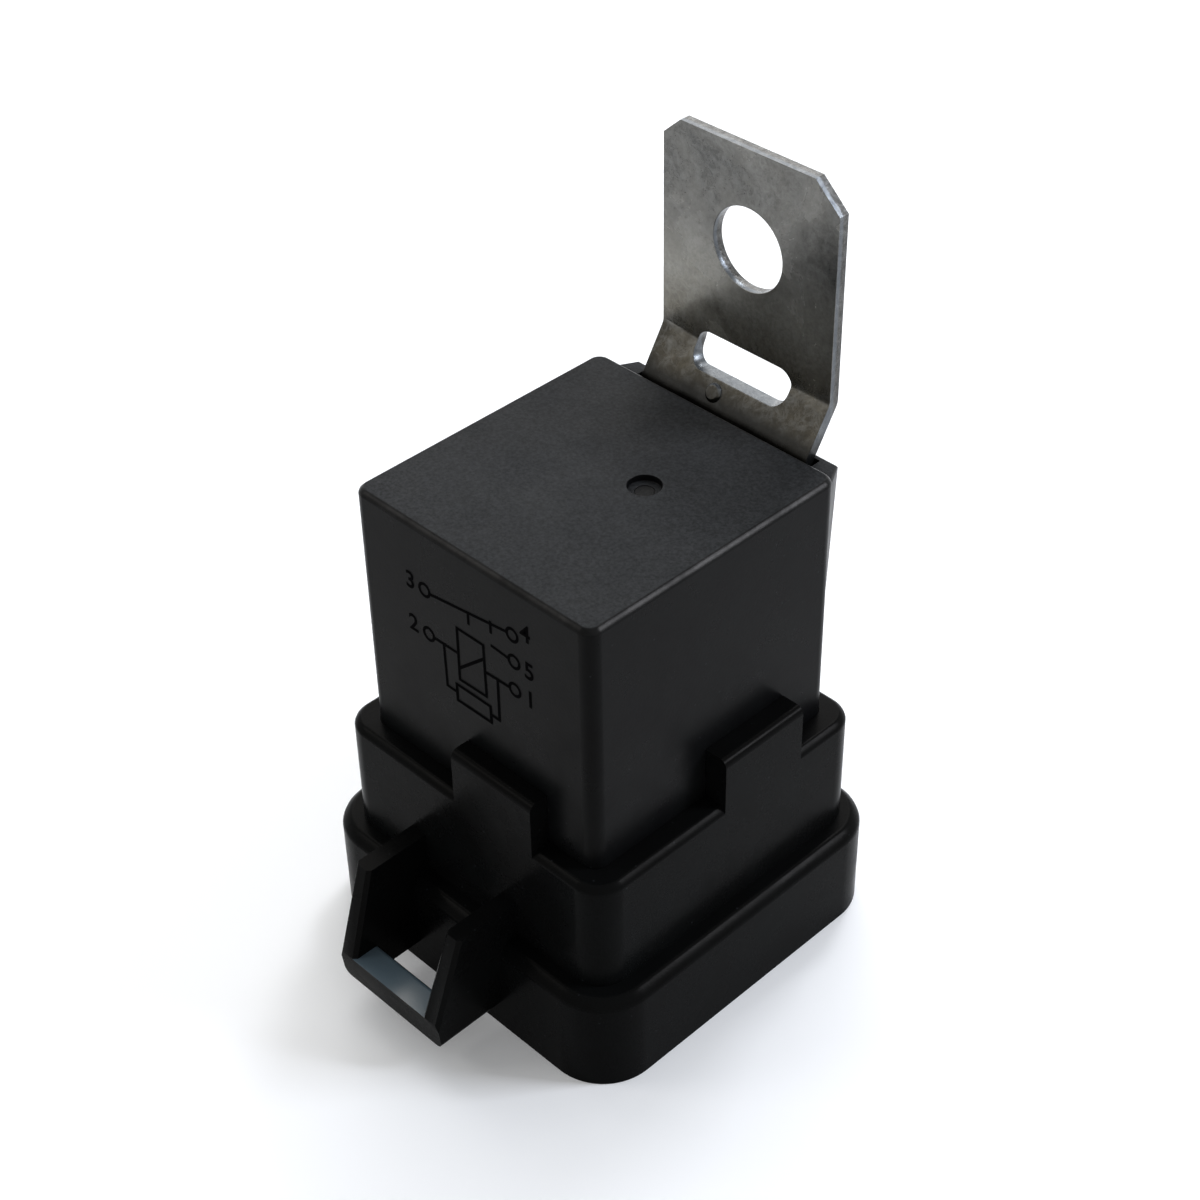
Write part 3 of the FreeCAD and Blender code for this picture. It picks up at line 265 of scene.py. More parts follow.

# %% [markdown]
# Glass filled polyamide, injection moulded and black right through. Under-bonnet relays are moulded in
# it because it takes heat and oil. It is a plain dielectric with an IOR of about 1.53, so it is dark in
# its colour and pale only in its sheen. Three things show on such a moulding. The flow leaves faint
# cloudy patches, which are in its colour, and pale flecks are painted in as glints for the sparkle of
# the grain and its glass fibres. The spark eroded mould leaves a fine grain of about 0.15 mm, which is a
# bump. And faces that look up are matt, and carry a grey painted sheen.

# %% Colour of the moulding compound
def compound_colour(tree, where, body_hex, cloud_hex):
    """Body colour with flow clouds and pale flecks painted in as glints."""
    clouds = add_node(tree, "ShaderNodeTexNoise", links={"Vector": where.outputs["Object"]}, values={
        "Scale": 1 / (9 * MM), "Detail": 5, "Roughness": 0.6})
    tint = add_node(tree, "ShaderNodeValToRGB", links={"Fac": clouds.outputs["Fac"]}, stops=[
        (0.35, body_hex), (0.70, cloud_hex)])
    # Real fibre ends are about 0.1 mm apart, too fine to show, so painted glints 1.6 mm apart stand in.
    glint_flecks = add_node(tree, "ShaderNodeTexVoronoi", links={"Vector": where.outputs["Object"]}, values={
        "Scale": 1 / (1.6 * MM), "Randomness": 1.0})
    painted_glint_mask = add_node(tree, "ShaderNodeMapRange", links={"Value": glint_flecks.outputs["Distance"]}, values={
        "From Min": 0.03, "From Max": 0.07, "To Min": 0.25, "To Max": 0.0})
    # The pale flecks mixed in here are painted glints.
    return add_node(tree, "ShaderNodeMix", data_type="RGBA", values={"B": linear("#3c3f42")}, links={
        "Factor": painted_glint_mask.outputs["Result"], "A": tint.outputs["Color"]}).outputs["Result"]


print("compound: clouds 9 mm wide, flecks 1.6 mm apart")

# %% [markdown]
# A grey painted sheen fades in where the face turns up, speckled as coarsely as the grain. The
# roughness is also higher there, which spreads the mirrored window over the whole top.

# %% Matt faces that look up, with a painted sheen
LOOKS_UP = 0.93


def matt_and_sheen_masks(tree, where, grain_mm, top_matt_and_sheen):
    """How far a face looks up, for the roughness, and the same speckled by the grain, for the painted sheen.
    """
    facing = add_node(tree, "ShaderNodeSeparateXYZ", links={"Vector": where.outputs["Normal"]})
    on_top = add_node(tree, "ShaderNodeMapRange", links={"Value": facing.outputs["Z"]}, values={
        "From Min": LOOKS_UP, "From Max": 0.995, "To Min": 0.0, "To Max": top_matt_and_sheen})
    speckle = add_node(tree, "ShaderNodeTexNoise", links={"Vector": where.outputs["Object"]}, values={
        "Scale": 1 / (grain_mm * MM), "Detail": 3, "Roughness": 0.7})
    strength = add_node(tree, "ShaderNodeMapRange", links={"Value": speckle.outputs["Fac"]}, values={
        "From Min": 0.35, "From Max": 0.70, "To Min": 0.55, "To Max": 1.50})
    painted_sheen_mask = add_node(tree, "ShaderNodeMath", operation="MULTIPLY", links={
        0: on_top.outputs["Result"], 1: strength.outputs["Result"]})
    return on_top.outputs["Result"], painted_sheen_mask.outputs[0]


print("bloom on faces within", round(math.degrees(math.acos(LOOKS_UP))), "degrees of level")

# %% [markdown]
# The rounded rims between the top and the sides get a painted highlight: a slightly lighter colour in
# patches, with more shine. The top of the latch's bar gets a painted reflection: a pale blue grey with
# more gloss. Two masks find these places: the rims by the way their surface faces, and the bar by its
# place at the front of the skirt. Neither is a separate piece.

# %% Masks of the painted highlight and reflection
skirt_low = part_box("skirt")[0]
BAR_LEVEL = skirt_low.z + 5.85 * MM
BAR_REAR = skirt_low.y + 3.1 * MM


def upper_rims(tree, where):
    """Mask of the rounded rims between the top and the sides, in patches, for their painted highlight."""
    facing = add_node(tree, "ShaderNodeSeparateXYZ", links={"Vector": where.outputs["Normal"]})
    slope = add_node(tree, "ShaderNodeValToRGB", links={"Fac": facing.outputs["Z"]}, stops=[
        (0.15, "#000000"), (0.40, "#ffffff"), (0.92, "#ffffff"), (0.985, "#000000")])
    patches = add_node(tree, "ShaderNodeTexNoise", links={"Vector": where.outputs["Object"]}, values={
        "Scale": 1 / (2.5 * MM), "Detail": 4, "Roughness": 0.7})
    highlight_patches = add_node(tree, "ShaderNodeMapRange", links={"Value": patches.outputs["Fac"]}, values={
        "From Min": 0.35, "From Max": 0.60, "To Min": 0.35, "To Max": 1.0})
    return add_node(tree, "ShaderNodeMath", operation="MULTIPLY", links={
        0: slope.outputs["Color"], 1: highlight_patches.outputs["Result"]}).outputs[0]


def bar_top(tree, where):
    """Mask of the top of the latch's bar, over which the catch slides, for its painted reflection."""
    place = add_node(tree, "ShaderNodeSeparateXYZ", links={"Vector": where.outputs["Object"]})
    facing = add_node(tree, "ShaderNodeSeparateXYZ", links={"Vector": where.outputs["Normal"]})
    low = add_node(tree, "ShaderNodeMapRange", links={"Value": place.outputs["Z"]}, values={
        "From Min": BAR_LEVEL, "From Max": BAR_LEVEL + 0.15 * MM, "To Min": 1.0, "To Max": 0.0})
    ahead = add_node(tree, "ShaderNodeMapRange", links={"Value": place.outputs["Y"]}, values={
        "From Min": BAR_REAR, "From Max": BAR_REAR + 0.2 * MM, "To Min": 1.0, "To Max": 0.0})
    looks_up = add_node(tree, "ShaderNodeMapRange", links={"Value": facing.outputs["Z"]}, values={
        "From Min": 0.5, "From Max": 0.9, "To Min": 0.0, "To Max": 1.0})
    both = add_node(tree, "ShaderNodeMath", operation="MULTIPLY", links={
        0: low.outputs["Result"], 1: ahead.outputs["Result"]})
    return add_node(tree, "ShaderNodeMath", operation="MULTIPLY", links={
        0: both.outputs[0], 1: looks_up.outputs["Result"]}).outputs[0]


print("bar masked below", round(BAR_LEVEL, 5), "and ahead of", round(BAR_REAR, 5))

# %% [markdown]
# The whole plastic. A grained polyamide usually has a roughness of about 0.45 and the specular level of
# any dielectric, 0.5. Under a white room that turns black plastic grey, and the photograph's room was
# dimmer, so the sheen was matched far below that: the colour stays and the reflection is weaker. The
# sides came out at a roughness of about 0.30, the top with its painted sheen at about 0.55. The cap and
# the skirt are one plastic from two moulds, the skirt a little glossier. The painted highlight on the
# cap's rims and the painted reflection on the latch's bar have their own values.

# %% Moulded plastic
def moulded_plastic(name, body_hex, cloud_hex, roughness, shine, grain_mm, grain_height_mm, top_matt_and_sheen=0.0):
    """Moulding compound with grain and wiped patches, and matt with a painted sheen where it looks up."""
    finish, tree = new_finish(name)
    where = add_node(tree, "ShaderNodeTexCoord")
    compound = compound_colour(tree, where, body_hex, cloud_hex)
    on_top, painted_sheen_mask = matt_and_sheen_masks(tree, where, grain_mm, top_matt_and_sheen)
    # The grey mixed in where the face looks up is a painted sheen.
    painted_sheen = add_node(tree, "ShaderNodeMix", data_type="RGBA", values={"B": linear("#4a4c4e")},
                     links={"Factor": painted_sheen_mask, "A": compound})
    wipe = add_node(tree, "ShaderNodeTexNoise", links={"Vector": where.outputs["Object"]}, values={
        "Scale": 1 / (4 * MM), "Detail": 6, "Roughness": 0.65})
    wiped = add_node(tree, "ShaderNodeMapRange", links={"Value": wipe.outputs["Fac"]}, values={
        "From Min": 0.3, "From Max": 0.7, "To Min": roughness - 0.06, "To Max": roughness + 0.08})
    gloss = add_node(tree, "ShaderNodeMath", operation="ADD", links={0: wiped.outputs["Result"], 1: on_top})
    grain = add_node(tree, "ShaderNodeTexNoise", links={"Vector": where.outputs["Object"]}, values={
        "Scale": 1 / (grain_mm * MM), "Detail": 2, "Roughness": 0.5})
    relief = add_node(tree, "ShaderNodeBump", links={"Height": grain.outputs["Fac"]}, values={
        "Strength": 1.0, "Distance": grain_height_mm * MM})
    skin = add_node(tree, "ShaderNodeBsdfPrincipled", values={
        "IOR": 1.53, "Specular IOR Level": shine, "Specular Tint": linear("#fff8f0")}, links={
        "Base Color": painted_sheen.outputs["Result"], "Roughness": gloss.outputs[0],
        "Normal": relief.outputs["Normal"]})
    add_node(tree, "ShaderNodeOutputMaterial", links={"Surface": skin.outputs[0]})
    return finish


def paint_highlight(finish, highlight_part, highlight_hex, highlight_roughness, highlight_shine):
    """The same plastic, with a painted highlight colour, roughness and shine blended in under a mask."""
    tree = finish.node_tree
    skin = next(node for node in tree.nodes if node.type == "BSDF_PRINCIPLED")
    highlight_mask = highlight_part(tree, next(node for node in tree.nodes if node.type == "TEX_COORD"))
    colour = add_node(tree, "ShaderNodeMix", data_type="RGBA", values={"B": linear(highlight_hex)}, links={
        "Factor": highlight_mask, "A": skin.inputs["Base Color"].links[0].from_socket})
    gloss = add_node(tree, "ShaderNodeMix", data_type="FLOAT", values={"B": highlight_roughness}, links={
        "Factor": highlight_mask, "A": skin.inputs["Roughness"].links[0].from_socket})
    shine = add_node(tree, "ShaderNodeMapRange", links={"Value": highlight_mask}, values={
        "To Min": skin.inputs["Specular IOR Level"].default_value, "To Max": highlight_shine})
    tree.links.new(colour.outputs["Result"], skin.inputs["Base Color"])
    tree.links.new(gloss.outputs["Result"], skin.inputs["Roughness"])
    tree.links.new(shine.outputs["Result"], skin.inputs["Specular IOR Level"])
    return finish


def dress(finish, *names):
    """Puts one finish on the named solids."""
    for name in names:
        nodes[name].data.materials.clear()
        nodes[name].data.materials.append(finish)


# %% Plastic on the outer mouldings
# The real grain is about 0.15 mm, which is under two pixels here, so it is drawn at 0.3 mm. The plug
# is too small for that and has it at 0.2 mm.
GRAIN, PLUG_GRAIN = 0.30, 0.20
cap_plastic = moulded_plastic("polyamide_cap", "#0b0b0c", "#0f1010", roughness=0.30, shine=0.034,
                              grain_mm=GRAIN, grain_height_mm=0.006, top_matt_and_sheen=0.25)
skirt_plastic = moulded_plastic("polyamide_skirt", "#0a0a0a", "#0d0e0e", roughness=0.26, shine=0.018,
                                grain_mm=GRAIN, grain_height_mm=0.004)
plug_plastic = moulded_plastic("polyamide_plug", "#0d0e0f", "#141517", roughness=0.60, shine=0.10,
                               grain_mm=PLUG_GRAIN, grain_height_mm=0.02)
# The rims get a painted highlight, and the latch's bar a pale blue grey painted reflection.
dress(paint_highlight(cap_plastic, upper_rims, "#101112", highlight_roughness=0.28, highlight_shine=0.085), "cover")
dress(paint_highlight(skirt_plastic, bar_top, "#5a6a74", highlight_roughness=0.20, highlight_shine=0.80), "skirt")
dress(plug_plastic, "vent_plug")
print("plastic on cover, skirt and vent plug")

# %% [markdown]
# Zinc plated steel, cut and folded from 1.1 mm strip. The bath dries in clouds of lighter and darker
# grey, a few millimetres wide, and they carry the plate's roughness too: the pale ones are duller. The
# rolled sheet's streaks run up the strip as a faint bump. They are finer than a pixel, so they are
# drawn a quarter of a millimetre apart.

# %% Zinc clouds and rolling streaks
CLOUD_WIDTH = 7 * MM

zinc, tree = new_finish("zinc_plated_steel")
where = add_node(tree, "ShaderNodeTexCoord")
clouds = add_node(tree, "ShaderNodeTexNoise", links={"Vector": where.outputs["Object"]}, values={
    "Scale": 1 / CLOUD_WIDTH, "Detail": 7, "Roughness": 0.62, "Distortion": 0.8})
tint = add_node(tree, "ShaderNodeValToRGB", links={"Fac": clouds.outputs["Fac"]}, stops=[
    (0.30, "#525250"), (0.52, "#6f6e6a"), (0.72, "#8c8b86")])
gloss = add_node(tree, "ShaderNodeMapRange", links={"Value": clouds.outputs["Fac"]}, values={
    "From Min": 0.3, "From Max": 0.7, "To Min": 0.18, "To Max": 0.32})
stretched = add_node(tree, "ShaderNodeMapping", links={"Vector": where.outputs["Object"]}, values={
    "Scale": (1 / (0.25 * MM), 1 / (0.25 * MM), 1 / (9 * MM))})
streaks = add_node(tree, "ShaderNodeTexNoise", values={"Scale": 1.0, "Detail": 3, "Roughness": 0.6},
                   links={"Vector": stretched.outputs["Vector"]})
relief = add_node(tree, "ShaderNodeBump", values={"Strength": 0.6, "Distance": 0.004 * MM},
                  links={"Height": streaks.outputs["Fac"]})
print("zinc clouds", CLOUD_WIDTH, "m wide")

# %% [markdown]
# A pale band crosses the strip below and beside the round hole, a painted reflection of the bright
# floor. Towards the cover the colour turns darker and browner. Both are ramps over the height above
# the cover's top, which the clouds push up and down so that no edge is straight.

# %% Painted reflection band and brownish foot
cover_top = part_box("cover")[1].z
band_foot, band_head = cover_top - 2.2 * MM, cover_top + 22.8 * MM
brownish_from, brownish_to = cover_top + 1.8 * MM, cover_top + 8.8 * MM

place = add_node(tree, "ShaderNodeSeparateXYZ", links={"Vector": where.outputs["Object"]})
wander = add_node(tree, "ShaderNodeMath", operation="MULTIPLY_ADD", values={1: 5 * MM, 2: -2.5 * MM},
                  links={0: clouds.outputs["Fac"]})
height = add_node(tree, "ShaderNodeMath", operation="ADD", links={
    0: place.outputs["Z"], 1: wander.outputs[0]})
share = add_node(tree, "ShaderNodeMapRange", links={"Value": height.outputs[0]}, values={
    "From Min": band_foot, "From Max": band_head})
painted_reflection_band = add_node(tree, "ShaderNodeValToRGB", links={"Fac": share.outputs["Result"]}, stops=[
    (0.18, "#000000"), (0.28, "#a6a6a6"), (0.45, "#a6a6a6"), (0.68, "#000000")])
# The pale band is a painted reflection of the floor.
painted_reflection = add_node(tree, "ShaderNodeMix", data_type="RGBA", values={"B": linear("#b3b0a4")}, links={
    "Factor": painted_reflection_band.outputs["Color"], "A": tint.outputs["Color"]})
brownish_foot_mask = add_node(tree, "ShaderNodeMapRange", links={"Value": height.outputs[0]}, values={
    "From Min": brownish_from, "From Max": brownish_to, "To Min": 0.85, "To Max": 0.0})
brownish_foot = add_node(tree, "ShaderNodeMix", data_type="RGBA", blend_type="MULTIPLY", links={
    "Factor": brownish_foot_mask.outputs["Result"], "A": painted_reflection.outputs["Result"]}, values={"B": linear("#95886b")})
print("straw below", round(brownish_to, 4), "m")

# %% [markdown]
# A punch cuts a strip in two stages, and the cut shows both. It shears the first part smooth, here the
# front half, and tears the rest, which stays dark and gritty. Cut edges are the faces that don't look
# forwards or backwards, and the line between the two bands wanders with the grit.

# %% Cut edges
band_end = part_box("mounting_bracket")[1].y - 0.42 * MM
band_fade = 0.15 * MM

facing = add_node(tree, "ShaderNodeSeparateXYZ", links={"Vector": where.outputs["Normal"]})
flatness = add_node(tree, "ShaderNodeMath", operation="ABSOLUTE", links={0: facing.outputs["Y"]})
cut_edge = add_node(tree, "ShaderNodeMapRange", links={"Value": flatness.outputs[0]}, values={
    "From Min": 0.35, "From Max": 0.6, "To Min": 1.0, "To Max": 0.0})
# Torn grit is under 0.1 mm. It is drawn at 0.3 mm, so that two pixels can hold a crumb.
crumbs = add_node(tree, "ShaderNodeTexNoise", links={"Vector": where.outputs["Object"]}, values={
    "Scale": 1 / (0.30 * MM), "Detail": 4, "Roughness": 0.7})
torn = add_node(tree, "ShaderNodeValToRGB", links={"Fac": crumbs.outputs["Fac"]}, stops=[
    (0.35, "#242321"), (0.65, "#403e3a")])
depth = add_node(tree, "ShaderNodeMath", operation="MULTIPLY_ADD", values={1: 0.3 * MM}, links={
    0: crumbs.outputs["Fac"], 2: place.outputs["Y"]})
sheared = add_node(tree, "ShaderNodeMapRange", links={"Value": depth.outputs[0]}, values={
    "From Min": band_end - band_fade, "From Max": band_end, "To Min": 1.0, "To Max": 0.0})
cut_colour = add_node(tree, "ShaderNodeMix", data_type="RGBA", values={"B": linear("#505458")}, links={
    "Factor": sheared.outputs["Result"], "A": torn.outputs["Color"]})
sheet_colour = add_node(tree, "ShaderNodeMix", data_type="RGBA", links={
    "Factor": cut_edge.outputs["Result"], "A": brownish_foot.outputs["Result"], "B": cut_colour.outputs["Result"]})
roughened = add_node(tree, "ShaderNodeMath", operation="MULTIPLY_ADD", values={1: -0.7, 2: 1.0},
                     links={0: sheared.outputs["Result"]})
tearing = add_node(tree, "ShaderNodeMath", operation="MULTIPLY", links={
    0: cut_edge.outputs["Result"], 1: roughened.outputs[0]})
grit = add_node(tree, "ShaderNodeBump", values={"Distance": 0.05 * MM}, links={
    "Height": crumbs.outputs["Fac"], "Strength": tearing.outputs[0], "Normal": relief.outputs["Normal"]})
print("sheared band ends at y =", round(band_end, 5))

# %% [markdown]
# Years on a shelf dull the plate. Fine rubbing darkens it in specks, a whitish haze of zinc oxide lies
# over it in wisps, and a painted shade darkens the corner where the strip goes down into the cover.

# %% Rubbing, haze and painted shade
shade_foot, shade_head = cover_top - 0.3 * MM, cover_top + 1.1 * MM
pocket = cover_top - 7.2 * MM

# Rubbed specks are about 0.1 mm and are drawn at 0.35 mm.
fine = add_node(tree, "ShaderNodeTexNoise", links={"Vector": where.outputs["Object"]}, values={
    "Scale": 1 / (0.35 * MM), "Detail": 4, "Roughness": 0.75})
fine_shade = add_node(tree, "ShaderNodeValToRGB", links={"Fac": fine.outputs["Fac"]}, stops=[
    (0.35, "#dadada"), (0.68, "#ffffff")])
rubbed = add_node(tree, "ShaderNodeMix", data_type="RGBA", blend_type="MULTIPLY", values={"Factor": 1.0},
                  links={"A": sheet_colour.outputs["Result"], "B": fine_shade.outputs["Color"]})
wisps = add_node(tree, "ShaderNodeTexNoise", links={"Vector": where.outputs["Object"]}, values={
    "Scale": 1 / (1.1 * MM), "Detail": 8, "Roughness": 0.85, "Distortion": 0.5})
wisp_mask = add_node(tree, "ShaderNodeMapRange", links={"Value": wisps.outputs["Fac"]}, values={
    "From Min": 0.45, "From Max": 0.75, "To Min": 0.0, "To Max": 0.35})
hazed = add_node(tree, "ShaderNodeMix", data_type="RGBA", values={"B": linear("#a6a7a5")}, links={
    "Factor": wisp_mask.outputs["Result"], "A": rubbed.outputs["Result"]})
# The near black mixed in at the strip's foot is painted shade.
corner = add_node(tree, "ShaderNodeMapRange", links={"Value": place.outputs["Z"]}, values={
    "From Min": shade_foot, "From Max": shade_head, "To Min": 0.85, "To Max": 0.0})
out_of_pocket = add_node(tree, "ShaderNodeMath", operation="GREATER_THAN", links={0: place.outputs["Z"]},
                         values={1: pocket})
painted_shade_mask = add_node(tree, "ShaderNodeMath", operation="MULTIPLY", links={
    0: corner.outputs["Result"], 1: out_of_pocket.outputs[0]})
painted_shade = add_node(tree, "ShaderNodeMix", data_type="RGBA", values={"B": linear("#11110f")}, links={
    "Factor": painted_shade_mask.outputs[0], "A": hazed.outputs["Result"]})
print("grime up to", round(shade_head, 5), "m")

# %% [markdown]
# Bare zinc is a metal, metallic 1. The thin hazy film over it scatters part of the light, which was
# matched with metallic 0.68. The IOR stays at its default, as on any metal here, and the roughness runs
# from 0.18 to 0.32 with the clouds.

# %% Zinc plate
plate = add_node(tree, "ShaderNodeBsdfPrincipled", values={"Metallic": 0.68}, links={
    "Base Color": painted_shade.outputs["Result"], "Roughness": gloss.outputs["Result"],
    "Normal": grit.outputs["Normal"]})
add_node(tree, "ShaderNodeOutputMaterial", links={"Surface": plate.outputs[0]})
dress(zinc, "mounting_bracket")
print("zinc on the bracket")

# %% [markdown]
# The metals inside and below: tinned brass blades, soft iron magnet parts, spring bronze, silver
# contacts and steel rivets. Each is rolled or drawn and shows fine lines along its length, so one
# recipe with its own colours, roughness and line spacing serves all of them.

# %% Small metals
def rolled_metal(name, dark_hex, light_hex, roughness, line_mm, run_mm):
    """Metal with fine rolling lines along Z and slight stains."""
    finish, tree = new_finish(name)
    where = add_node(tree, "ShaderNodeTexCoord")
    stains = add_node(tree, "ShaderNodeTexNoise", values={
        "Scale": 1 / (2.5 * MM), "Detail": 5, "Roughness": 0.6}, links={"Vector": where.outputs["Object"]})
    tint = add_node(tree, "ShaderNodeValToRGB", stops=[(0.30, dark_hex), (0.65, light_hex)],
                    links={"Fac": stains.outputs["Fac"]})
    stretched = add_node(tree, "ShaderNodeMapping", values={
        "Scale": (1 / (line_mm * MM), 1 / (line_mm * MM), 1 / (run_mm * MM))},
        links={"Vector": where.outputs["Object"]})
    lines = add_node(tree, "ShaderNodeTexNoise", values={"Scale": 1.0, "Detail": 2, "Roughness": 0.5},
                     links={"Vector": stretched.outputs["Vector"]})
    gloss = add_node(tree, "ShaderNodeMapRange", values={
        "From Min": 0.3, "From Max": 0.7, "To Min": roughness - 0.05, "To Max": roughness + 0.08},
        links={"Value": lines.outputs["Fac"]})
    relief = add_node(tree, "ShaderNodeBump", values={"Strength": 0.5, "Distance": 0.003 * MM},
                      links={"Height": lines.outputs["Fac"]})
    metal = add_node(tree, "ShaderNodeBsdfPrincipled", values={"Metallic": 1.0}, links={
        "Base Color": tint.outputs["Color"], "Roughness": gloss.outputs["Result"],
        "Normal": relief.outputs["Normal"]})
    add_node(tree, "ShaderNodeOutputMaterial", links={"Surface": metal.outputs[0]})
    return finish


dress(rolled_metal("tinned_brass", "#a9a69f", "#c9c6bd", roughness=0.28, line_mm=0.12, run_mm=6), *BLADES)
dress(rolled_metal("soft_iron", "#6f6c69", "#8b8885", roughness=0.36, line_mm=0.15, run_mm=4),
      "yoke", "core", "armature")
dress(rolled_metal("spring_bronze", "#a9743f", "#c08d55", roughness=0.27, line_mm=0.10, run_mm=3),
      "contact_leaf", "leaf_foot")
dress(rolled_metal("contact_silver", "#b9b8b5", "#dcdbd6", roughness=0.22, line_mm=0.10, run_mm=0.5),
      "moving_contact", "contact_closed", "contact_open")
dress(rolled_metal("rivet_steel", "#7c7975", "#9a9792", roughness=0.30, line_mm=0.10, run_mm=0.5),
      "armature_rivet_front", "armature_rivet_rear", "foot_rivet_low", "foot_rivet_high")
dress(rolled_metal("tinned_wire", "#b4b1aa", "#cfccc4", roughness=0.25, line_mm=0.08, run_mm=3),
      "resistor_lead_right", "resistor_lead_left")
print("metals on blades, magnet, springs and contacts")

# %% [markdown]
# The insulators: the base plate of brown-black polyester, the poured epoxy that seals it, the spool of
# natural nylon and the film tape round the coil. They are mouldings, a casting and a film, so the
# moulded recipe serves them with other colours and grain.

# %% Insulators
dress(moulded_plastic("polyester_base", "#26221f", "#2e2a26", roughness=0.50, shine=0.30,
                      grain_mm=0.25, grain_height_mm=0.010), "base")
dress(moulded_plastic("poured_epoxy", "#141312", "#1d1b19", roughness=0.16, shine=0.40,
                      grain_mm=1.60, grain_height_mm=0.030), "potting_seal")
dress(moulded_plastic("nylon_spool", "#8f8a7c", "#9d988a", roughness=0.48, shine=0.50,
                      grain_mm=0.30, grain_height_mm=0.008), "bobbin")
dress(moulded_plastic("polyester_tape", "#8a6b2c", "#97783a", roughness=0.22, shine=0.50,
                      grain_mm=0.80, grain_height_mm=0.008), "coil_tape")
print("insulators on base, seal, spool and tape")

# %% [markdown]
# Enamelled copper wire, wound in close layers. The real wire is 0.12 mm, which would take a hundred
# turns in sight; one wave per turn in a bump texture shows them without a hundred rings of mesh. The
# same recipe, with wider bands and no bump, paints the rings on the resistor's lacquered body.

# %% Copper winding and resistor
WAVE_RADIANS = 20  # Blender's band texture turns its place by 20 radians for one unit of scale.


def banded_finish(name, dark_hex, light_hex, roughness, metallic, pitch_mm, depth_mm, axis):
    """Finish with even bands across one axis: turns of wire, or painted rings."""
    finish, tree = new_finish(name)
    where = add_node(tree, "ShaderNodeTexCoord")
    scale = 2 * math.pi / (WAVE_RADIANS * pitch_mm * MM)
    turns = add_node(tree, "ShaderNodeTexWave", wave_type="BANDS", bands_direction=axis, wave_profile="SIN",
                     links={"Vector": where.outputs["Object"]},
                     values={"Scale": scale, "Distortion": 0.3, "Detail": 1})
    tint = add_node(tree, "ShaderNodeValToRGB", stops=[(0.15, dark_hex), (0.60, light_hex)],
                    links={"Fac": turns.outputs["Fac"]})
    relief = add_node(tree, "ShaderNodeBump", values={"Strength": 1.0, "Distance": depth_mm * MM},
                      links={"Height": turns.outputs["Fac"]})
    skin = add_node(tree, "ShaderNodeBsdfPrincipled", values={"Metallic": metallic, "Roughness": roughness},
                    links={"Base Color": tint.outputs["Color"], "Normal": relief.outputs["Normal"]})
    add_node(tree, "ShaderNodeOutputMaterial", links={"Surface": skin.outputs[0]})
    return finish


dress(banded_finish("enamelled_copper", "#5a2513", "#a8552c", roughness=0.30, metallic=1.0,
                    pitch_mm=0.12, depth_mm=0.05, axis="Z"), "winding", "coil_wire_right", "coil_wire_left")
dress(banded_finish("lacquered_ceramic", "#2f5a72", "#3d6f8a", roughness=0.35, metallic=0.0,
                    pitch_mm=2.2, depth_mm=0.0, axis="X"), "resistor")
print("copper on the winding, lacquer on the resistor")

# %% [markdown]
# The circuit diagram on the front is pad printed in dark ink: a coil with its resistor, a change-over
# contact and five pin circles. Ink is a dull dielectric, darker than the plastic and without its
# sheen, which is all that makes it show. It wears in patches about a millimetre wide.

# %% Ink
ink, tree = new_finish("pad_printing_ink")
where = add_node(tree, "ShaderNodeTexCoord")
wear = add_node(tree, "ShaderNodeTexNoise", values={"Scale": 1 / (1.2 * MM), "Detail": 4, "Roughness": 0.6},
                links={"Vector": where.outputs["Object"]})
tint = add_node(tree, "ShaderNodeValToRGB", links={"Fac": wear.outputs["Fac"]}, stops=[
    (0.35, "#020202"), (0.75, "#050506")])
film = add_node(tree, "ShaderNodeBsdfPrincipled", links={"Base Color": tint.outputs["Color"]}, values={
    "IOR": 1.45, "Roughness": 0.75, "Specular IOR Level": 0.01})
add_node(tree, "ShaderNodeOutputMaterial", links={"Surface": film.outputs[0]})
print("ink", ink.name)

# %% [markdown]
# Ink stands only hundredths of a millimetre proud, so it is drawn as flat strips and rings in one mesh,
# laid just in front of the cap. Every place is in millimetres across the front and above the ground.

# %% Lines of the printed diagram
LINE = 0.29
CIRCLE = 0.62
INK_GAP = 0.02
face_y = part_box("cover")[0].y - INK_GAP * MM
pins = {"3": (-5.43, 40.97), "4": (5.16, 42.27), "2": (-5.30, 36.38),
        "5": (5.23, 39.53), "1": (5.18, 36.55)}
strokes = {
    "line from 3 to 4": [(-4.81, 40.88), (4.54, 42.25)],
    "left tick": [(-0.10, 41.35), (-0.10, 40.48)],
    "right tick": [(2.60, 42.13), (2.60, 41.10)],
    "line to 5": [(2.65, 39.69), (4.62, 39.53)],
    "line from 2": [(-4.68, 36.36), (-1.64, 36.42)],
    "branch from 2": [(-3.44, 36.35), (-3.34, 31.96), (-2.12, 31.94)],
    "coil": [(-1.62, 39.14), (1.56, 39.15), (1.62, 33.70), (-1.66, 33.60), (-1.62, 39.14)],
    "slash of the coil": [(-1.45, 35.00), (1.45, 37.60)],
    "line to 1": [(1.59, 36.36), (4.56, 36.48)],
    "branch to 1": [(3.12, 36.44), (3.08, 32.00), (2.04, 32.00)],
    "resistor": [(-2.12, 32.84), (2.02, 32.86), (2.06, 31.12), (-2.12, 31.06), (-2.12, 32.84)],
}
print(f"{len(strokes)} strokes, {len(pins)} pins, front face at y = {face_y:.5f}")

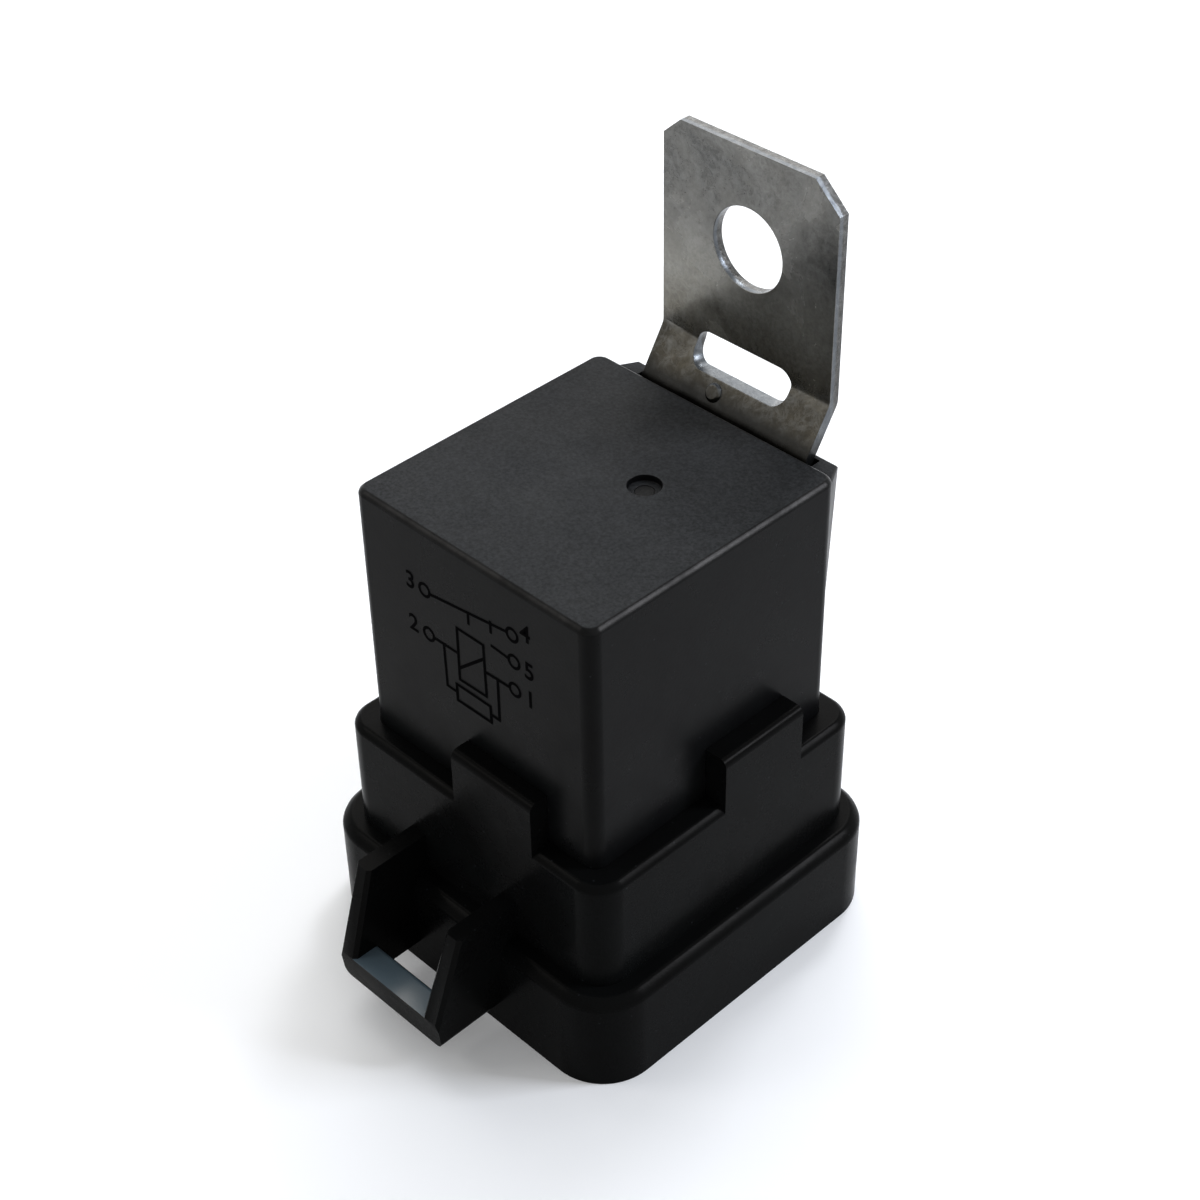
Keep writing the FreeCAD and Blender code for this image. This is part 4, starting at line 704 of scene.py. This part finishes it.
# %% Printed diagram
def strip(mesh, start, stop, width, depth):
    """A flat strip between two points of the front face, with square ends, at its own depth."""
    a, b = Vector(start), Vector(stop)
    along = (b - a).normalized()
    side = Vector((-along.y, along.x)) * width / 2
    tip = along * width / 2
    corners = [a - tip - side, b + tip - side, b + tip + side, a - tip + side]
    mesh.faces.new([mesh.verts.new((c.x * MM, depth, c.y * MM)) for c in corners])


def hoop(mesh, middle, radius, width, count=32):
    """A flat ring round a point of the front face."""
    spokes = [(math.cos(2 * math.pi * n / count), math.sin(2 * math.pi * n / count)) for n in range(count)]
    rings = []
    for reach in (radius - width / 2, radius + width / 2):
        rings.append([mesh.verts.new(((middle[0] + reach * x) * MM, face_y, (middle[1] + reach * z) * MM))
                      for x, z in spokes])
    inner, outer = rings
    for n in range(count):
        after = (n + 1) % count
        mesh.faces.new([inner[n], outer[n], outer[after], inner[after]])


# Strips that cross would lie in one plane, so each is laid a micrometre in front of the one before.
drawing = bmesh.new()
runs = [run for stroke in strokes.values() for run in zip(stroke, stroke[1:])]
for count, (start, stop) in enumerate(runs, start=1):
    strip(drawing, start, stop, LINE, face_y - 0.001 * MM * count)
for middle in pins.values():
    hoop(drawing, middle, CIRCLE, LINE)
diagram_mesh = bpy.data.meshes.new("circuit_diagram")
drawing.to_mesh(diagram_mesh)
drawing.free()
diagram_mesh.materials.append(ink)
diagram = bpy.data.objects.new("circuit_diagram", diagram_mesh)
bpy.context.scene.collection.objects.link(diagram)
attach(diagram, "relay")
print("diagram of", len(diagram_mesh.polygons), "faces")

# %% [markdown]
# The pin numbers are plain digits. Blender's own text curves give them, thickened a little as print is,
# and are turned to flat meshes on the front face, so that they ride on the relay like the lines.

# %% Pin numbers
NUMBER_HEIGHT = 1.7
DIGIT_SHARE = 0.7  # A digit's height as a share of its font size.
PRINT_SPREAD = 0.04
number_places = {"3": (-7.2, 41.0), "2": (-7.2, 36.45),
                 "4": (6.7, 43.2), "5": (7.0, 39.45), "1": (7.0, 36.5)}


def printed_number(text, middle):
    """One digit as a flat mesh on the front face."""
    letters = bpy.data.curves.new(f"digit_{text}", "FONT")
    letters.body = text
    letters.size = NUMBER_HEIGHT * MM / DIGIT_SHARE
    letters.offset = PRINT_SPREAD * MM
    letters.align_x, letters.align_y = "CENTER", "CENTER"
    maker = bpy.data.objects.new(f"digit_{text}", letters)
    bpy.context.scene.collection.objects.link(maker)
    maker.rotation_euler = (math.radians(90), 0, 0)
    maker.location = (middle[0] * MM, face_y, middle[1] * MM)
    bpy.context.view_layer.update()
    flat = bpy.data.meshes.new_from_object(maker)
    flat.transform(maker.matrix_world)
    bpy.data.objects.remove(maker)
    flat.materials.clear()
    flat.materials.append(ink)
    item = bpy.data.objects.new(f"pin_number_{text}", flat)
    bpy.context.scene.collection.objects.link(item)
    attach(item, "relay")


for text, middle in number_places.items():
    printed_number(text, middle)
print("numbers", ", ".join(number_places))
